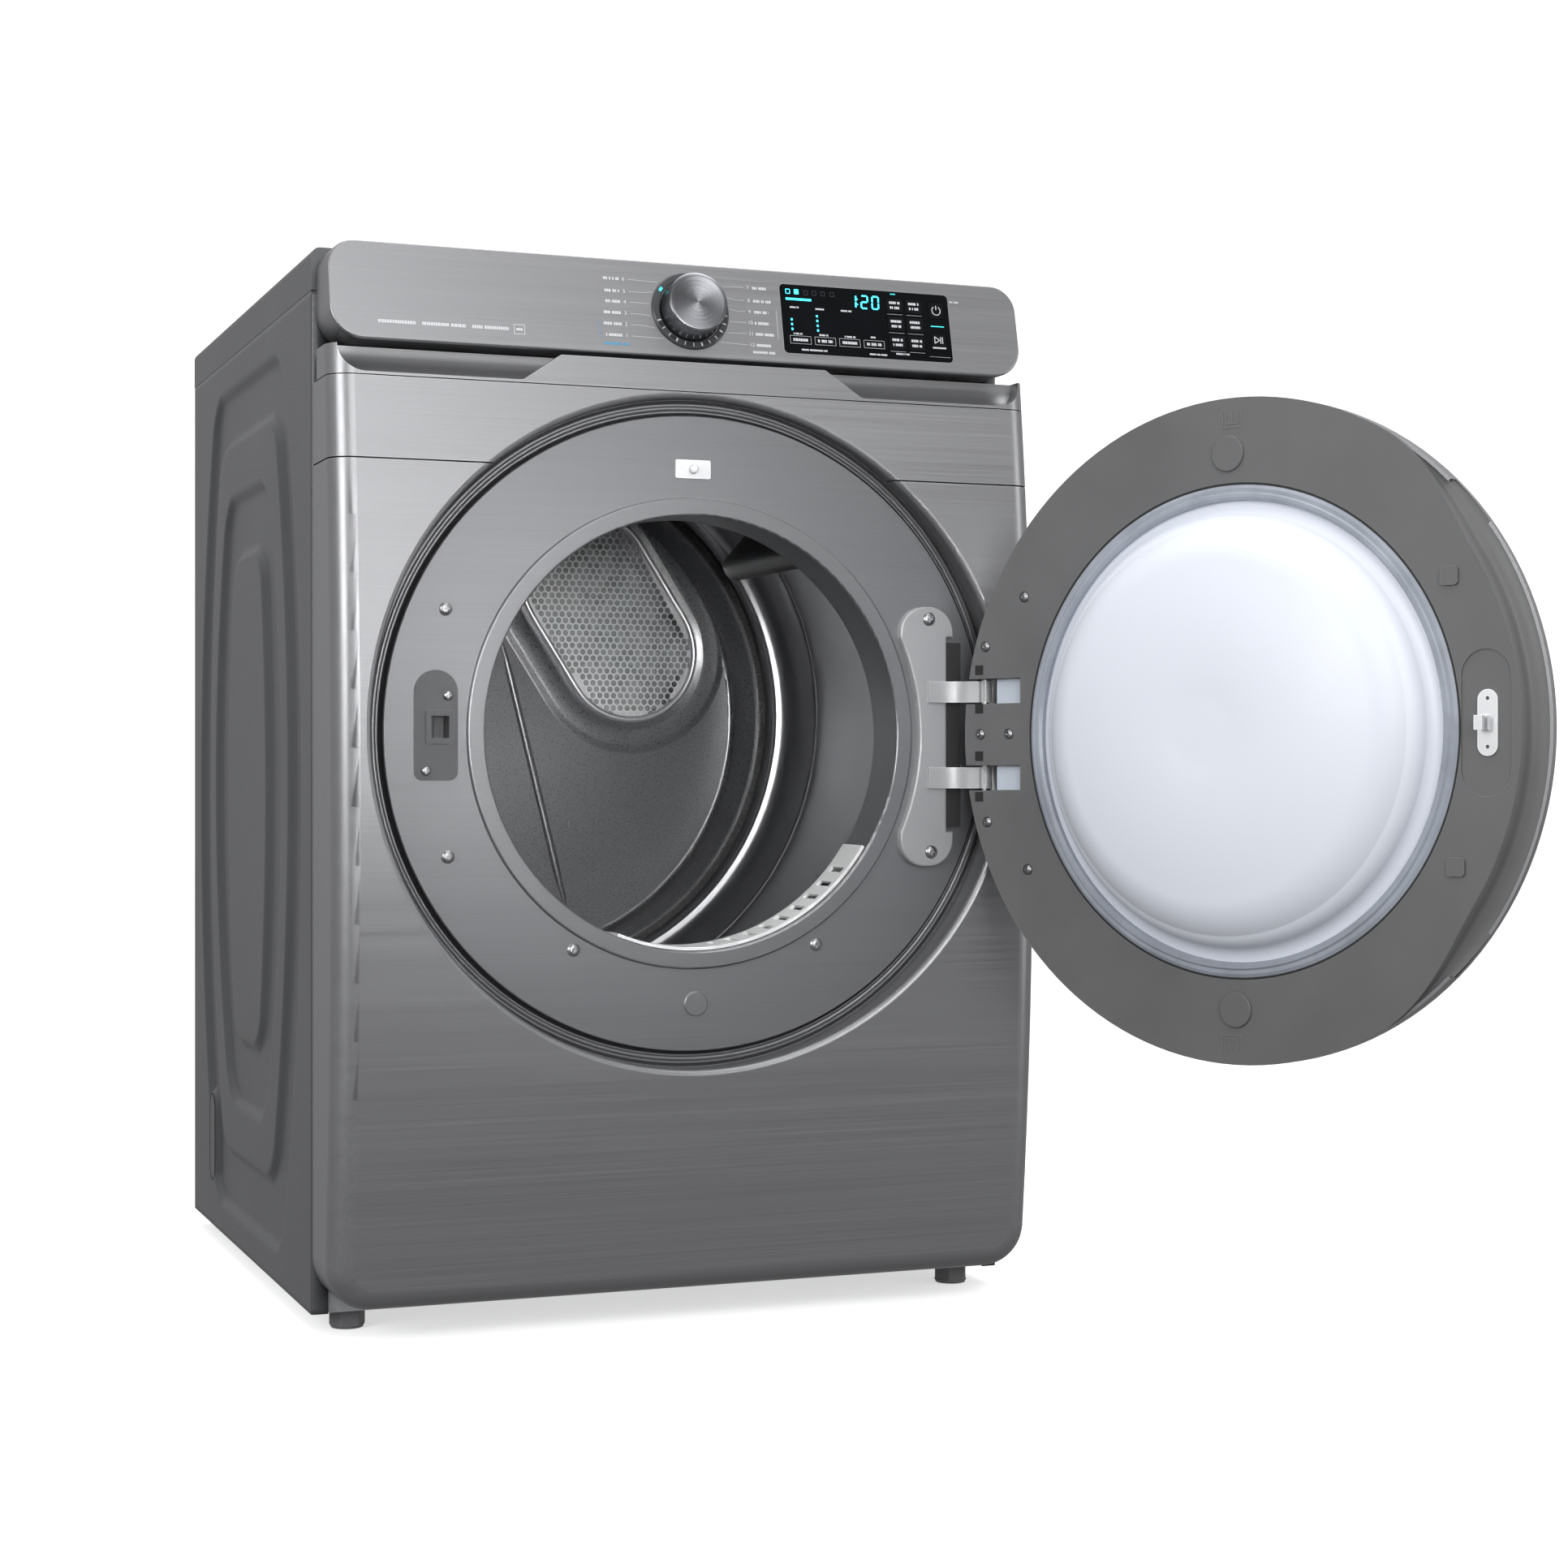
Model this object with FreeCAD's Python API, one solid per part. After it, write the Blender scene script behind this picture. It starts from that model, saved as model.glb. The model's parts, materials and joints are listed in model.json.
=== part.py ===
import FreeCAD, Part
import math
import os

from FreeCAD import Placement, Rotation, Vector

# Front-loading clothes dryer, 27 inches wide, with its round door standing open.
# Units are millimetres. +X is to the right of a person facing the front, +Y is towards the
# back and +Z is up. The origin is on the floor, midway between the four feet.

# ---------------------------------------------------------------- driving dimensions
WIDTH = 686.0
HEIGHT = 984.0
SIDE_DEPTH = 659.0
SHEET = 1.2
PANEL_BOTTOM = 17.6
TOP_SEAM = 945.0
BASE_TOP = 44.0
BULKHEAD_HALF = 335.5
BULKHEAD_LOW = 56.0

FOOT_X = 304.8
FOOT_Y = 303.5
FOOT_ACROSS = 34.0
FOOT_HEIGHT = 16.6
FOOT_STUD = 5.0

FRONT_HALF = 342.0
FRONT_APEX = -429.5
BOW_RADIUS = 3400.0
BOW_CENTRE_Z = 456.0
FRONT_EDGE_ROUND = 22.0
FRONT_LOW_CORNER = 40.0
FRONT_BOTTOM = 30.0
FRONT_SEAM_LOW = 785.0
FRONT_SEAM_HIGH = 786.4
BAND_SEAM_LOW = 859.6
BAND_SEAM_HIGH = 860.6
BAND_TOP = 888.0

FASCIA_HALF = 339.0
FASCIA_BOTTOM = 893.0
FASCIA_LOW_Y = -396.0
FASCIA_TOP_Y = -375.5
FASCIA_BACK = -331.0
FASCIA_WALL = 2.6

OPENING_Z = 544.6
OPENING_RADIUS = 201.5
DISC_Y = -401.5
DISC_RADIUS = 294.0
CHANNEL_Y = -393.5
RIM_RADIUS = 309.5
RIM_ROLL = 5.0
PLASTIC = 2.5

DRUM_Z = 575.0
DRUM_INNER = 322.0
DRUM_WALL = 1.4
DRUM_FRONT = -338.0
DRUM_REAR = 196.0
NECK_REAR = 293.0
NECK_FRONT = 306.0
BAFFLE_HEIGHT = 62.0
BAFFLE_ANGLES = (37.0, 157.0, 277.0)

FRONT_BULKHEAD_Y = -347.0
REAR_BULKHEAD_Y = 205.0
DISH_RADIUS = 276.0
DISH_Y = 243.0
GRILLE_LOW = (146.0, 650.0)
GRILLE_HIGH = (93.0, 733.0)
GRILLE_RADIUS = 79.0
GRILLE_PITCH = 16.6
GRILLE_HOLE = 6.2

MOTOR_X = 180.0
MOTOR_Z = 150.0
SHAFT_RADIUS = 6.0
PULLEY_RADIUS = 12.3
PULLEY_FLANGE = 15.5
IDLER_AT = (90.0, 150.0)
IDLER_RADIUS = 22.0
IDLER_PIVOT = (120.0, 92.0)
BELT_Y = (30.0, 45.0)
BELT_GAP = 0.4
BELT_THICKNESS = 2.0
AXLE_RADIUS = 5.0
AXLE_BORE = 5.05
ROLLER_RADIUS = 35.0
ROLLER_GAP = 0.3
ROLLER_Y = (172.0, 190.0)
ROLLER_ANGLES = {"left": 240.0, "right": 300.0}

DUCT_RADIUS = 50.8
DUCT_Z = 100.0
DUCT_TAIL = 25.0
INLET_AT = (-250.0, 850.0)
INLET_RADIUS = 14.3

PIN_X = 282.9
PIN_Y = -428.9
PIN_RADIUS = 3.5
PIN_CLEARANCE = 0.05
EYE_RADIUS = 7.0
ARM_OFFSETS = (41.0, -41.0)
ARM_HEIGHT = 20.0
DOOR_OPEN = 117.8
DOOR_PLANE = -412.5
DOOR_RADIUS = 294.0
DOOR_BORE = 219.0
RIM_DEPTH = 34.0
WINDOW_DEPTH = 55.0
BOWL_DEPTH = 50.0
GRIP_RADIUS = 273.0
GRIP_FULL = 32.0
GRIP_END = 60.0
GRIP_DEPTH = 18.0
LIP_DEPTH = 13.0
LATCH_X = -243.0
LATCH_Z = 549.0

KNOB_Z = 938.0
KNOB_RADIUS = 30.0
KNOB_HEIGHT = 25.0
WINDOW_X = (92.0, 266.0)
WINDOW_Z = (904.0, 971.0)
KEY_GAP = 0.45

SWITCH_X = -3.0
SWITCH_Z = 789.0

# Gap left where two parts touch, and ranges of y that pass through a wall.
CONTACT = 0.02
THROUGH_DISC = (-420, -380)
THROUGH_PLATE = (-450, -350)
THROUGH_BULKHEAD = (-360, -340)
THROUGH_BACK = (300, 340)

Y_AXIS = Vector(0, 1, 0)
CABINET_FRONT = -SIDE_DEPTH / 2
CABINET_BACK = SIDE_DEPTH / 2

os.makedirs("parts", exist_ok=True)


# ---------------------------------------------------------------- shape helpers
def block(x, y, z):
    """Box between the pairs x, y and z."""
    return Part.makeBox(x[1] - x[0], y[1] - y[0], z[1] - z[0], Vector(x[0], y[0], z[0]))


def about(centre, half):
    """The pair of values at a distance half on both sides of centre."""
    return centre - half, centre + half


def rod(radius, y, x=0.0, z=0.0):
    """Cylinder along Y."""
    return Part.makeCylinder(radius, y[1] - y[0], Vector(x, y[0], z), Y_AXIS)


def tube(outer, inner, y, x=0.0, z=0.0):
    return rod(outer, y, x, z).cut(rod(inner, y, x, z))


def joined(shapes):
    """One solid from shapes that touch or overlap."""
    result = shapes[0].fuse(shapes[1:]) if len(shapes) > 1 else shapes[0]
    return result.removeSplitter()


def outline_face(steps, place):
    """Flat face inside a closed outline. A step is a point, or (middle, end) for an arc."""
    here = place(*steps[0])
    edges = []
    for step in steps[1:] + [steps[0]]:
        if isinstance(step[0], tuple):
            end = place(*step[1])
            edges.append(Part.Arc(here, place(*step[0]), end).toShape())
        else:
            end = place(*step)
            edges.append(Part.LineSegment(here, end).toShape())
        here = end
    return Part.Face(Part.Wire(edges))


def turned(steps, x, z):
    """Solid of revolution about the line along Y through (x, z). Steps are (radius, y)."""
    face = outline_face(steps, lambda radius, y: Vector(x + radius, y, z))
    return face.revolve(Vector(x, 0, z), Y_AXIS, 360)


def rounded_steps(corners, radii):
    """Outline steps of a polygon whose corners are rounded by tangent arcs."""
    steps = []
    for i, corner in enumerate(corners):
        here = Vector(corner[0], corner[1], 0)
        back = Vector(*corners[i - 1], 0).sub(here).normalize()
        ahead = Vector(*corners[(i + 1) % len(corners)], 0).sub(here).normalize()
        radius = radii[i]
        if radius == 0:
            steps.append((here.x, here.y))
            continue
        half = back.getAngle(ahead) / 2
        middle_way = back.add(ahead).normalize()
        centre = here + middle_way * (radius / math.sin(half))
        start = here + back * (radius / math.tan(half))
        middle = centre - middle_way * radius
        end = here + ahead * (radius / math.tan(half))
        steps.append((start.x, start.y))
        steps.append(((middle.x, middle.y), (end.x, end.y)))
    return steps


def plate(corners, radii, y):
    """Flat plate with an outline in X and Z and rounded corners, between two values of y."""
    steps = rounded_steps(corners, radii)
    if isinstance(steps[0][0], tuple):
        steps = steps[1:] + steps[:1]
    face = outline_face(steps, lambda x, z: Vector(x, y[0], z))
    return face.extrude(Vector(0, y[1] - y[0], 0))


def rectangle(x, z):
    return [(x[0], z[0]), (x[1], z[0]), (x[1], z[1]), (x[0], z[1])]


def rounded_plate(x, z, radius, y):
    return plate(rectangle(x, z), [radius] * 4, y)


def stadium(low, high, radius, y):
    """Slot-shaped plate between two centres given as (x, z)."""
    along = Vector(high[0] - low[0], 0, high[1] - low[1])
    side = Vector(-along.z, 0, along.x).normalize() * radius
    corners = [(low[0] + side.x, low[1] + side.z), (low[0] - side.x, low[1] - side.z),
               (high[0] - side.x, high[1] - side.z), (high[0] + side.x, high[1] + side.z)]
    middle = plate(corners, [0] * 4, y)
    return joined([middle, rod(radius, y, *low), rod(radius, y, *high)])


def hull_of_circles(circles, grow, y):
    """Plate bounded by the outer tangents of circles given as (x, z, radius)."""
    pieces = [rod(radius + grow, y, x, z) for x, z, radius in circles]
    pieces.append(plate([(x, z) for x, z, radius in circles], [0] * len(circles), y))
    for i, (x1, z1, r1) in enumerate(circles):
        x2, z2, r2 = circles[(i + 1) % len(circles)]
        pieces.append(tangent_strip((x1, z1, r1 + grow), (x2, z2, r2 + grow), y))
    return joined(pieces)


def tangent_strip(first, second, y):
    """Four-sided plate between two circle centres and both of their outer tangents."""
    heading = math.atan2(second[1] - first[1], second[0] - first[0])
    distance = math.hypot(second[0] - first[0], second[1] - first[1])
    lean = math.acos((first[2] - second[2]) / distance)
    corners = []
    for circle, sign in ((first, 1), (first, -1), (second, -1), (second, 1)):
        angle = heading + sign * lean
        corners.append((circle[0] + circle[2] * math.cos(angle), circle[1] + circle[2] * math.sin(angle)))
    return plate(corners, [0] * 4, y)


def mirrored(shape):
    """Mirror image across the plane X = 0."""
    return shape.mirror(Vector(0, 0, 0), Vector(1, 0, 0))


def write(name, shape):
    """Write one sub-part as a STEP file."""
    solids = shape.Solids
    if not solids or not all(solid.isValid() and solid.Volume > 0 for solid in solids):
        print("CHECK", name, "has a bad solid")
    print(f"{name}: {len(solids)} solid(s), {sum(s.Volume for s in solids) / 1000:.1f} cm3")
    kept = solids[0] if len(solids) == 1 else Part.makeCompound(solids)
    kept.exportStep(f"parts/{name}.step")


# ---------------------------------------------------------------- bowed sheet-metal front
def front_y(z, inset=0.0):
    """Y of the bowed front at height z."""
    radius = BOW_RADIUS - inset
    return FRONT_APEX + BOW_RADIUS - math.sqrt(radius ** 2 - (z - BOW_CENTRE_Z) ** 2)


def front_block(inset, z, back):
    """Everything behind the bowed front, with its rounded edges and the round door cut-out."""
    half = FRONT_HALF - inset
    middle = (z[0] + z[1]) / 2
    steps = [(back, z[0]), (front_y(z[0], inset), z[0]),
             ((front_y(middle, inset), middle), (front_y(z[1], inset), z[1])), (back, z[1])]
    solid = outline_face(steps, lambda y, height: Vector(-half, y, height)).extrude(Vector(2 * half, 0, 0))
    low_corners = [e for e in solid.Edges if is_low_corner(e, z[0], half)]
    solid = solid.makeFillet(FRONT_LOW_CORNER - inset, low_corners)
    face = bowed_face(solid, BOW_RADIUS - inset)
    sides = [e for e in face.Edges if not all(abs(v.Z - z[1]) < 0.01 for v in e.Vertexes)]
    solid = solid.makeFillet(FRONT_EDGE_ROUND - inset, sides)
    solid = solid.cut(rod(RIM_RADIUS + inset, (-500, -200), 0, OPENING_Z))
    face = bowed_face(solid, BOW_RADIUS - inset)
    rim = [e for e in face.Edges if is_on_rim(e, RIM_RADIUS + inset)]
    return solid.makeFillet(RIM_ROLL - inset, rim)


def is_low_corner(edge, low, half):
    """True for the two bottom edges that run from front to back."""
    ends = edge.Vertexes
    at_corner = all(abs(v.Z - low) < 0.01 and abs(abs(v.X) - half) < 0.01 for v in ends)
    return at_corner and abs(ends[0].X - ends[-1].X) < 1


def bowed_face(solid, radius):
    """The large cylindrical face of the front."""
    rounded = [f for f in solid.Faces if isinstance(f.Surface, Part.Cylinder)]
    bowed = [f for f in rounded if abs(f.Surface.Radius - radius) < 0.1]
    return max(bowed, key=lambda f: f.Area)


def is_on_rim(edge, radius):
    point = edge.valueAt((edge.FirstParameter + edge.LastParameter) / 2)
    return abs(math.hypot(point.x, point.z - OPENING_Z) - radius) < 0.2


def front_skin():
    """Thin front sheet over its whole height, with the rolled flange of the door cut-out."""
    outside = front_block(0.0, (FRONT_BOTTOM, BAND_TOP), CABINET_FRONT - 0.8)
    inside = front_block(SHEET, (FRONT_BOTTOM + SHEET, BAND_TOP + 5), CABINET_FRONT + 30)
    skin = outside.cut(inside)
    return skin.cut(rod(RIM_RADIUS + 2.5, (CHANNEL_Y - 1.0, -300), 0, OPENING_Z))


def make_front_panels():
    skin = front_skin()
    wide = (-WIDTH, WIDTH)
    write("front_panel_lower", skin.common(block(wide, (-500, 0), (0, FRONT_SEAM_LOW))))
    write("front_panel_upper", skin.common(block(wide, (-500, 0), (FRONT_SEAM_HIGH, BAND_SEAM_LOW))))


def scoop(grow):
    """Hollow of one finger recess under the control fascia."""
    corners = [(112 - grow, 900), (166 - grow, 863 - grow), (334 + grow, 863 - grow), (334 + grow, 900)]
    outline = plate(corners, [0, 8, 24 + grow, 0], THROUGH_PLATE)
    groove = Part.makeCylinder(26 + grow, 2 * WIDTH, Vector(-WIDTH, -405, 889), Vector(1, 0, 0))
    return outline.common(groove)


def make_grip_band():
    wall = 3.0
    low, high = BAND_SEAM_HIGH, BAND_TOP
    outside = plain_front(0.0, (low, high), FRONT_BULKHEAD_Y - 1)
    inside = plain_front(wall, (low - 5, high - wall), CABINET_FRONT)
    outside = outside.cut([scoop(0.0), mirrored(scoop(0.0))])
    inside = inside.cut([scoop(wall), mirrored(scoop(wall))])
    write("grip_band", outside.cut(inside))


def plain_front(inset, z, back):
    """Front block with rounded vertical edges only."""
    half = FRONT_HALF - inset
    steps = [(back, z[0]), (front_y(z[0], inset), z[0]), (front_y(z[1], inset), z[1]), (back, z[1])]
    solid = outline_face(steps, lambda y, height: Vector(-half, y, height)).extrude(Vector(2 * half, 0, 0))
    edges = [e for e in solid.Edges
             if all(abs(abs(v.X) - half) < 0.01 and v.Y < back - 1 for v in e.Vertexes)
             and abs(e.Vertexes[0].X - e.Vertexes[-1].X) < 1]
    return solid.makeFillet(FRONT_EDGE_ROUND - inset, edges)


# ---------------------------------------------------------------- control fascia
FASCIA_TILT = math.atan2(FASCIA_TOP_Y - FASCIA_LOW_Y, HEIGHT - FASCIA_BOTTOM)
FACE_UP = Vector(0, math.sin(FASCIA_TILT), math.cos(FASCIA_TILT))
FACE_OUT = Vector(0, -math.cos(FASCIA_TILT), math.sin(FASCIA_TILT))


def fascia_y(z):
    return FASCIA_LOW_Y + (z - FASCIA_BOTTOM) * math.tan(FASCIA_TILT)


def on_fascia(shape, x, z):
    """Place a shape made about the origin, with +Z as its outward direction, on the fascia."""
    turn = Rotation(Vector(1, 0, 0), FACE_UP, FACE_OUT, "ZXY")
    placed = shape.copy()
    placed.Placement = Placement(Vector(x, fascia_y(z), z), turn).multiply(placed.Placement)
    return placed


def fascia_block(inset):
    low, high = FASCIA_BOTTOM + inset, HEIGHT - inset
    shift = inset / math.cos(FASCIA_TILT)
    back = FASCIA_BACK + (20 if inset else 0)
    steps = [(back, low), (fascia_y(low) + shift, low), (fascia_y(high) + shift, high), (back, high)]
    side = outline_face(steps, lambda y, z: Vector(-FASCIA_HALF + inset, y, z))
    solid = side.extrude(Vector(2 * (FASCIA_HALF - inset), 0, 0))
    half = FASCIA_HALF - inset
    radii = [30 - inset, 30 - inset, 25 - inset, 25 - inset]
    return solid.common(plate(rectangle((-half, half), (low, high)), radii, (-450, -250)))


def pad(width, height, depth, radius):
    """Rounded rectangular block about the origin, from z = -depth up to z = 0."""
    corners = rectangle((-width / 2, width / 2), (-height / 2, height / 2))
    steps = rounded_steps(corners, [radius] * 4)
    return outline_face(steps, lambda a, b: Vector(a, b, -depth)).extrude(Vector(0, 0, depth))


WINDOW_SIZE = (WINDOW_X[1] - WINDOW_X[0], (WINDOW_Z[1] - WINDOW_Z[0]) / math.cos(FASCIA_TILT))
WINDOW_CENTRE = ((WINDOW_X[0] + WINDOW_X[1]) / 2, (WINDOW_Z[0] + WINDOW_Z[1]) / 2)

# Keys: name, centre as fractions of the window from its lower left corner, width, height.
KEYS = [(f"key_option_{i + 1}", 0.0975 + 0.1445 * i, 0.195, 22.6, 9.0) for i in range(4)]
KEYS += [(f"key_menu_{3 * column + row + 1}", 0.675 + 0.115 * column, 0.80 - 0.275 * row, 17.4, 14.5)
         for column in range(2) for row in range(3)]
KEYS += [("key_power", 0.925, 0.76, 15.5, 16.5), ("key_start", 0.925, 0.29, 15.5, 17.5)]


def key_place(across, up):
    """Point (x, z) on the fascia of a place in the display window."""
    x = WINDOW_X[0] + across * WINDOW_SIZE[0]
    z = WINDOW_Z[0] + up * (WINDOW_Z[1] - WINDOW_Z[0])
    return x, z


def make_fascia():
    shell = fascia_block(0.0)
    front = [f for f in shell.Faces if abs(f.normalAt(0, 0).dot(FACE_OUT)) > 0.999]
    shell = shell.makeFillet(2.0, front[0].Edges)
    shell = shell.cut(fascia_block(FASCIA_WALL))
    opening = pad(WINDOW_SIZE[0] + 0.6, WINDOW_SIZE[1] + 0.6, 30, 4.3)
    opening.translate(Vector(0, 0, 10))
    shell = shell.cut(on_fascia(opening, *WINDOW_CENTRE))
    shaft_hole = Part.makeCylinder(9.0, 30, Vector(0, 0, -15))
    write("control_fascia", shell.cut(on_fascia(shaft_hole, 0, KNOB_Z)))


def make_display():
    window = pad(WINDOW_SIZE[0], WINDOW_SIZE[1], 3.0, 4.0)
    window.translate(Vector(0, 0, 0.2))
    window = on_fascia(window, *WINDOW_CENTRE)
    for name, across, up, width, height in KEYS:
        hole = pad(width + 2 * KEY_GAP, height + 2 * KEY_GAP, 20, 1.9)
        hole.translate(Vector(0, 0, 10))
        window = window.cut(on_fascia(hole, *key_place(across, up)))
    write("display_window", window)
    for name, across, up, width, height in KEYS:
        key = pad(width, height, 5.0, 1.5)
        key.translate(Vector(0, 0, 0.5))
        write(name, on_fascia(key, *key_place(across, up)))


def upright_turned(steps):
    """Solid of revolution about +Z. Steps are (radius, z)."""
    face = outline_face(steps, lambda radius, z: Vector(radius, 0, z))
    return face.revolve(Vector(0, 0, 0), Vector(0, 0, 1), 360)


def make_knob():
    r, h = KNOB_RADIUS, KNOB_HEIGHT
    knob = upright_turned([(0, 1.5), (r, 1.5), (r - 1.2, h - 2.2), ((r - 1.9, h - 0.7), (r - 3.4, h)),
                           (r - 5, h), ((r / 2, h - 0.9), (5, h - 1.2)), (0, h - 1.2)])
    shaft = Part.makeCylinder(6.0, 14.5, Vector(0, 0, -12.5))
    write("control_knob", on_fascia(joined([knob, shaft]), 0, KNOB_Z))
    bezel = upright_turned([(r + 0.8, 0.05), (r + 8, 0.05), (r + 7.6, 2.2), (r + 6.4, 3.0),
                            (r + 1.6, 3.0), (r + 0.8, 2.2)])
    write("knob_bezel", on_fascia(bezel, 0, KNOB_Z))


# ---------------------------------------------------------------- cabinet
# Nested barrel-shaped embosses of a side panel: bottom, top, and half-widths at the top,
# the middle and the bottom. Each one steps in or out from the one around it.
EMBOSSES = [(45, 913, 187, 284, 185), (105, 861, 156, 229, 143),
            (161, 799, 116, 185, 100), (226, 739, 80, 115, 75)]
EMBOSS_DEPTH = 5.5
EMBOSS_SLOPE = 9.0
EMBOSS_CORNER = 34.0
SIDE_TOP = TOP_SEAM - 0.6
FLANGE_WIDTH = 16.0
KNOCK_OUT_Y = (192.0, 224.0)
KNOCK_OUT_Z = (66.0, 160.0)
PAN_HALF = 340.8
PAN_Y = (-327.5, 325.5)
PAN_LOW = PANEL_BOTTOM + 0.6
VENT_FIRST = (-230.0, 700.0)
VENT_STEP = (34.0, 22.0)
VENT_SIZE = (24.0, 6.0)
TOP_EDGE_ROUND = 8.0


def barrel_wire(emboss, shrink, x):
    """Rounded barrel outline in the plane at x, moved inwards by shrink."""
    low, high, top, middle, bottom = emboss
    corner = EMBOSS_CORNER
    low, high = low + corner, high - corner
    top, middle, bottom = top - corner, middle - corner, bottom - corner
    centre = (low + high) / 2
    here = [Vector(x, a, b) for a, b in ((-bottom, low), (bottom, low), (top, high), (-top, high))]
    edges = [Part.LineSegment(here[0], here[1]).toShape(),
             Part.Arc(here[1], Vector(x, middle, centre), here[2]).toShape(),
             Part.LineSegment(here[2], here[3]).toShape(),
             Part.Arc(here[3], Vector(x, -middle, centre), here[0]).toShape()]
    return Part.Wire(edges).makeOffset2D(corner - shrink)


def emboss_cut(emboss, x_wide, x_narrow):
    """Tapered barrel between the plane of its wide end and that of its narrow end."""
    wide = barrel_wire(emboss, 0.0, x_wide)
    narrow = barrel_wire(emboss, EMBOSS_SLOPE, x_narrow)
    return Part.makeLoft([wide, narrow], True, True)


def side_stack(x):
    """Slab whose outer face, at x, carries the nested embosses."""
    slab = block((x, x + 14), (CABINET_FRONT, CABINET_BACK), (PANEL_BOTTOM, SIDE_TOP))
    deep = x + EMBOSS_DEPTH
    slab = slab.cut(emboss_cut(EMBOSSES[0], x, deep))
    slab = slab.fuse(emboss_cut(EMBOSSES[1], deep, x))
    slab = slab.cut(emboss_cut(EMBOSSES[2], x, deep))
    return slab.fuse(emboss_cut(EMBOSSES[3], deep, x))


def make_side_panels():
    outer_x = -WIDTH / 2
    inner = side_stack(outer_x + SHEET)
    sheet = side_stack(outer_x).cut(inner.fuse(block((outer_x + 9, outer_x + 20), (-400, 400), (0, 1000))))
    across = (outer_x, outer_x + FLANGE_WIDTH)
    height = (PANEL_BOTTOM, SIDE_TOP)
    flanges = [block(across, (y, y + SHEET), height) for y in (CABINET_FRONT, CABINET_BACK - SHEET)]
    knock_out = stadium_on_side(outer_x)
    panel = joined([sheet] + flanges).fuse(knock_out)
    write("side_panel_left", panel)
    write("side_panel_right", mirrored(panel))


def stadium_on_side(x):
    """Raised oval knock-out near the bottom of the back edge."""
    steps = rounded_steps(rectangle(KNOCK_OUT_Y, KNOCK_OUT_Z), [15.9] * 4)
    face = outline_face(steps, lambda y, z: Vector(x - 0.01, y, z))
    return face.extrude(Vector(SHEET + 0.6, 0, 0))


def make_back_panel():
    panel = block((-340.5, 340.5), (CABINET_BACK - 3.2, CABINET_BACK - 2.0), (PANEL_BOTTOM, TOP_SEAM - 1))
    panel = panel.cut(rod(DUCT_RADIUS + 0.6, THROUGH_BACK, 0, DUCT_Z))
    panel = panel.cut(rod(INLET_RADIUS, THROUGH_BACK, *INLET_AT))
    for row in range(4):
        for column in range(8):
            x = VENT_FIRST[0] + VENT_STEP[0] * column
            z = VENT_FIRST[1] + VENT_STEP[1] * row
            vent = rounded_plate((x, x + VENT_SIZE[0]), (z, z + VENT_SIZE[1]), 2.9, THROUGH_BACK)
            panel = panel.cut(vent)
    write("back_panel", panel)


def make_base_pan():
    outside = block((-PAN_HALF, PAN_HALF), PAN_Y, (PAN_LOW, BASE_TOP))
    half = PAN_HALF - SHEET
    inside = block((-half, half), (PAN_Y[0] + SHEET, PAN_Y[1] - SHEET), (PAN_LOW + SHEET, BASE_TOP + 16))
    pan = outside.cut(inside)
    for x in (-FOOT_X, FOOT_X):
        for y in (-FOOT_Y, FOOT_Y):
            pan = pan.cut(Part.makeCylinder(FOOT_STUD + 0.6, 20, Vector(x, y, 10)))
    write("base_pan", pan.fuse(idler_post()))


def idler_post():
    """Post and foot that carry the idler arm, welded to the base pan."""
    high = BELT_Y[1]
    x, z = IDLER_PIVOT
    post = rod(AXLE_RADIUS, (high + 3, high + 26), x, z)
    foot = block(about(x, 16), (high + 14, high + 26), (PANEL_BOTTOM + 1.0, z + 12))
    return joined([post, foot])


def around(centre, radius, angle):
    """Point at a radius and an angle in degrees from a centre."""
    a = math.radians(angle)
    return centre[0] + radius * math.cos(a), centre[1] + radius * math.sin(a)


def make_feet():
    feet = []
    for x in (-FOOT_X, FOOT_X):
        for y in (-FOOT_Y, FOOT_Y):
            pad_part = Part.makeCone(14.5, 16.0, 3.0, Vector(x, y, 0))
            corners = [around((x, y), FOOT_ACROSS / 2, angle) for angle in range(0, 360, 60)]
            hexagon = outline_face(rounded_steps(corners, [3.0] * 6), lambda a, b: Vector(a, b, 3.0))
            nut = hexagon.extrude(Vector(0, 0, FOOT_HEIGHT - 3.0))
            stud = Part.makeCylinder(FOOT_STUD, 38.0, Vector(x, y, 2.0))
            feet.append(joined([pad_part, nut, stud]))
    write("levelling_feet", Part.makeCompound(feet))


def make_top_cover():
    def cover(inset, low):
        half = WIDTH / 2 - inset
        depth = (CABINET_FRONT + inset - 0.4, CABINET_BACK - inset)
        box = block((-half, half), depth, (low, HEIGHT - inset))
        edges = [e for e in box.Edges if all(abs(v.Z - HEIGHT + inset) < 0.01 for v in e.Vertexes)
                 and not all(v.Y < 0 for v in e.Vertexes)]
        return box.makeFillet(TOP_EDGE_ROUND - inset, edges)
    write("top_cover", cover(0.0, TOP_SEAM).cut(cover(SHEET, TOP_SEAM - 20)))


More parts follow.
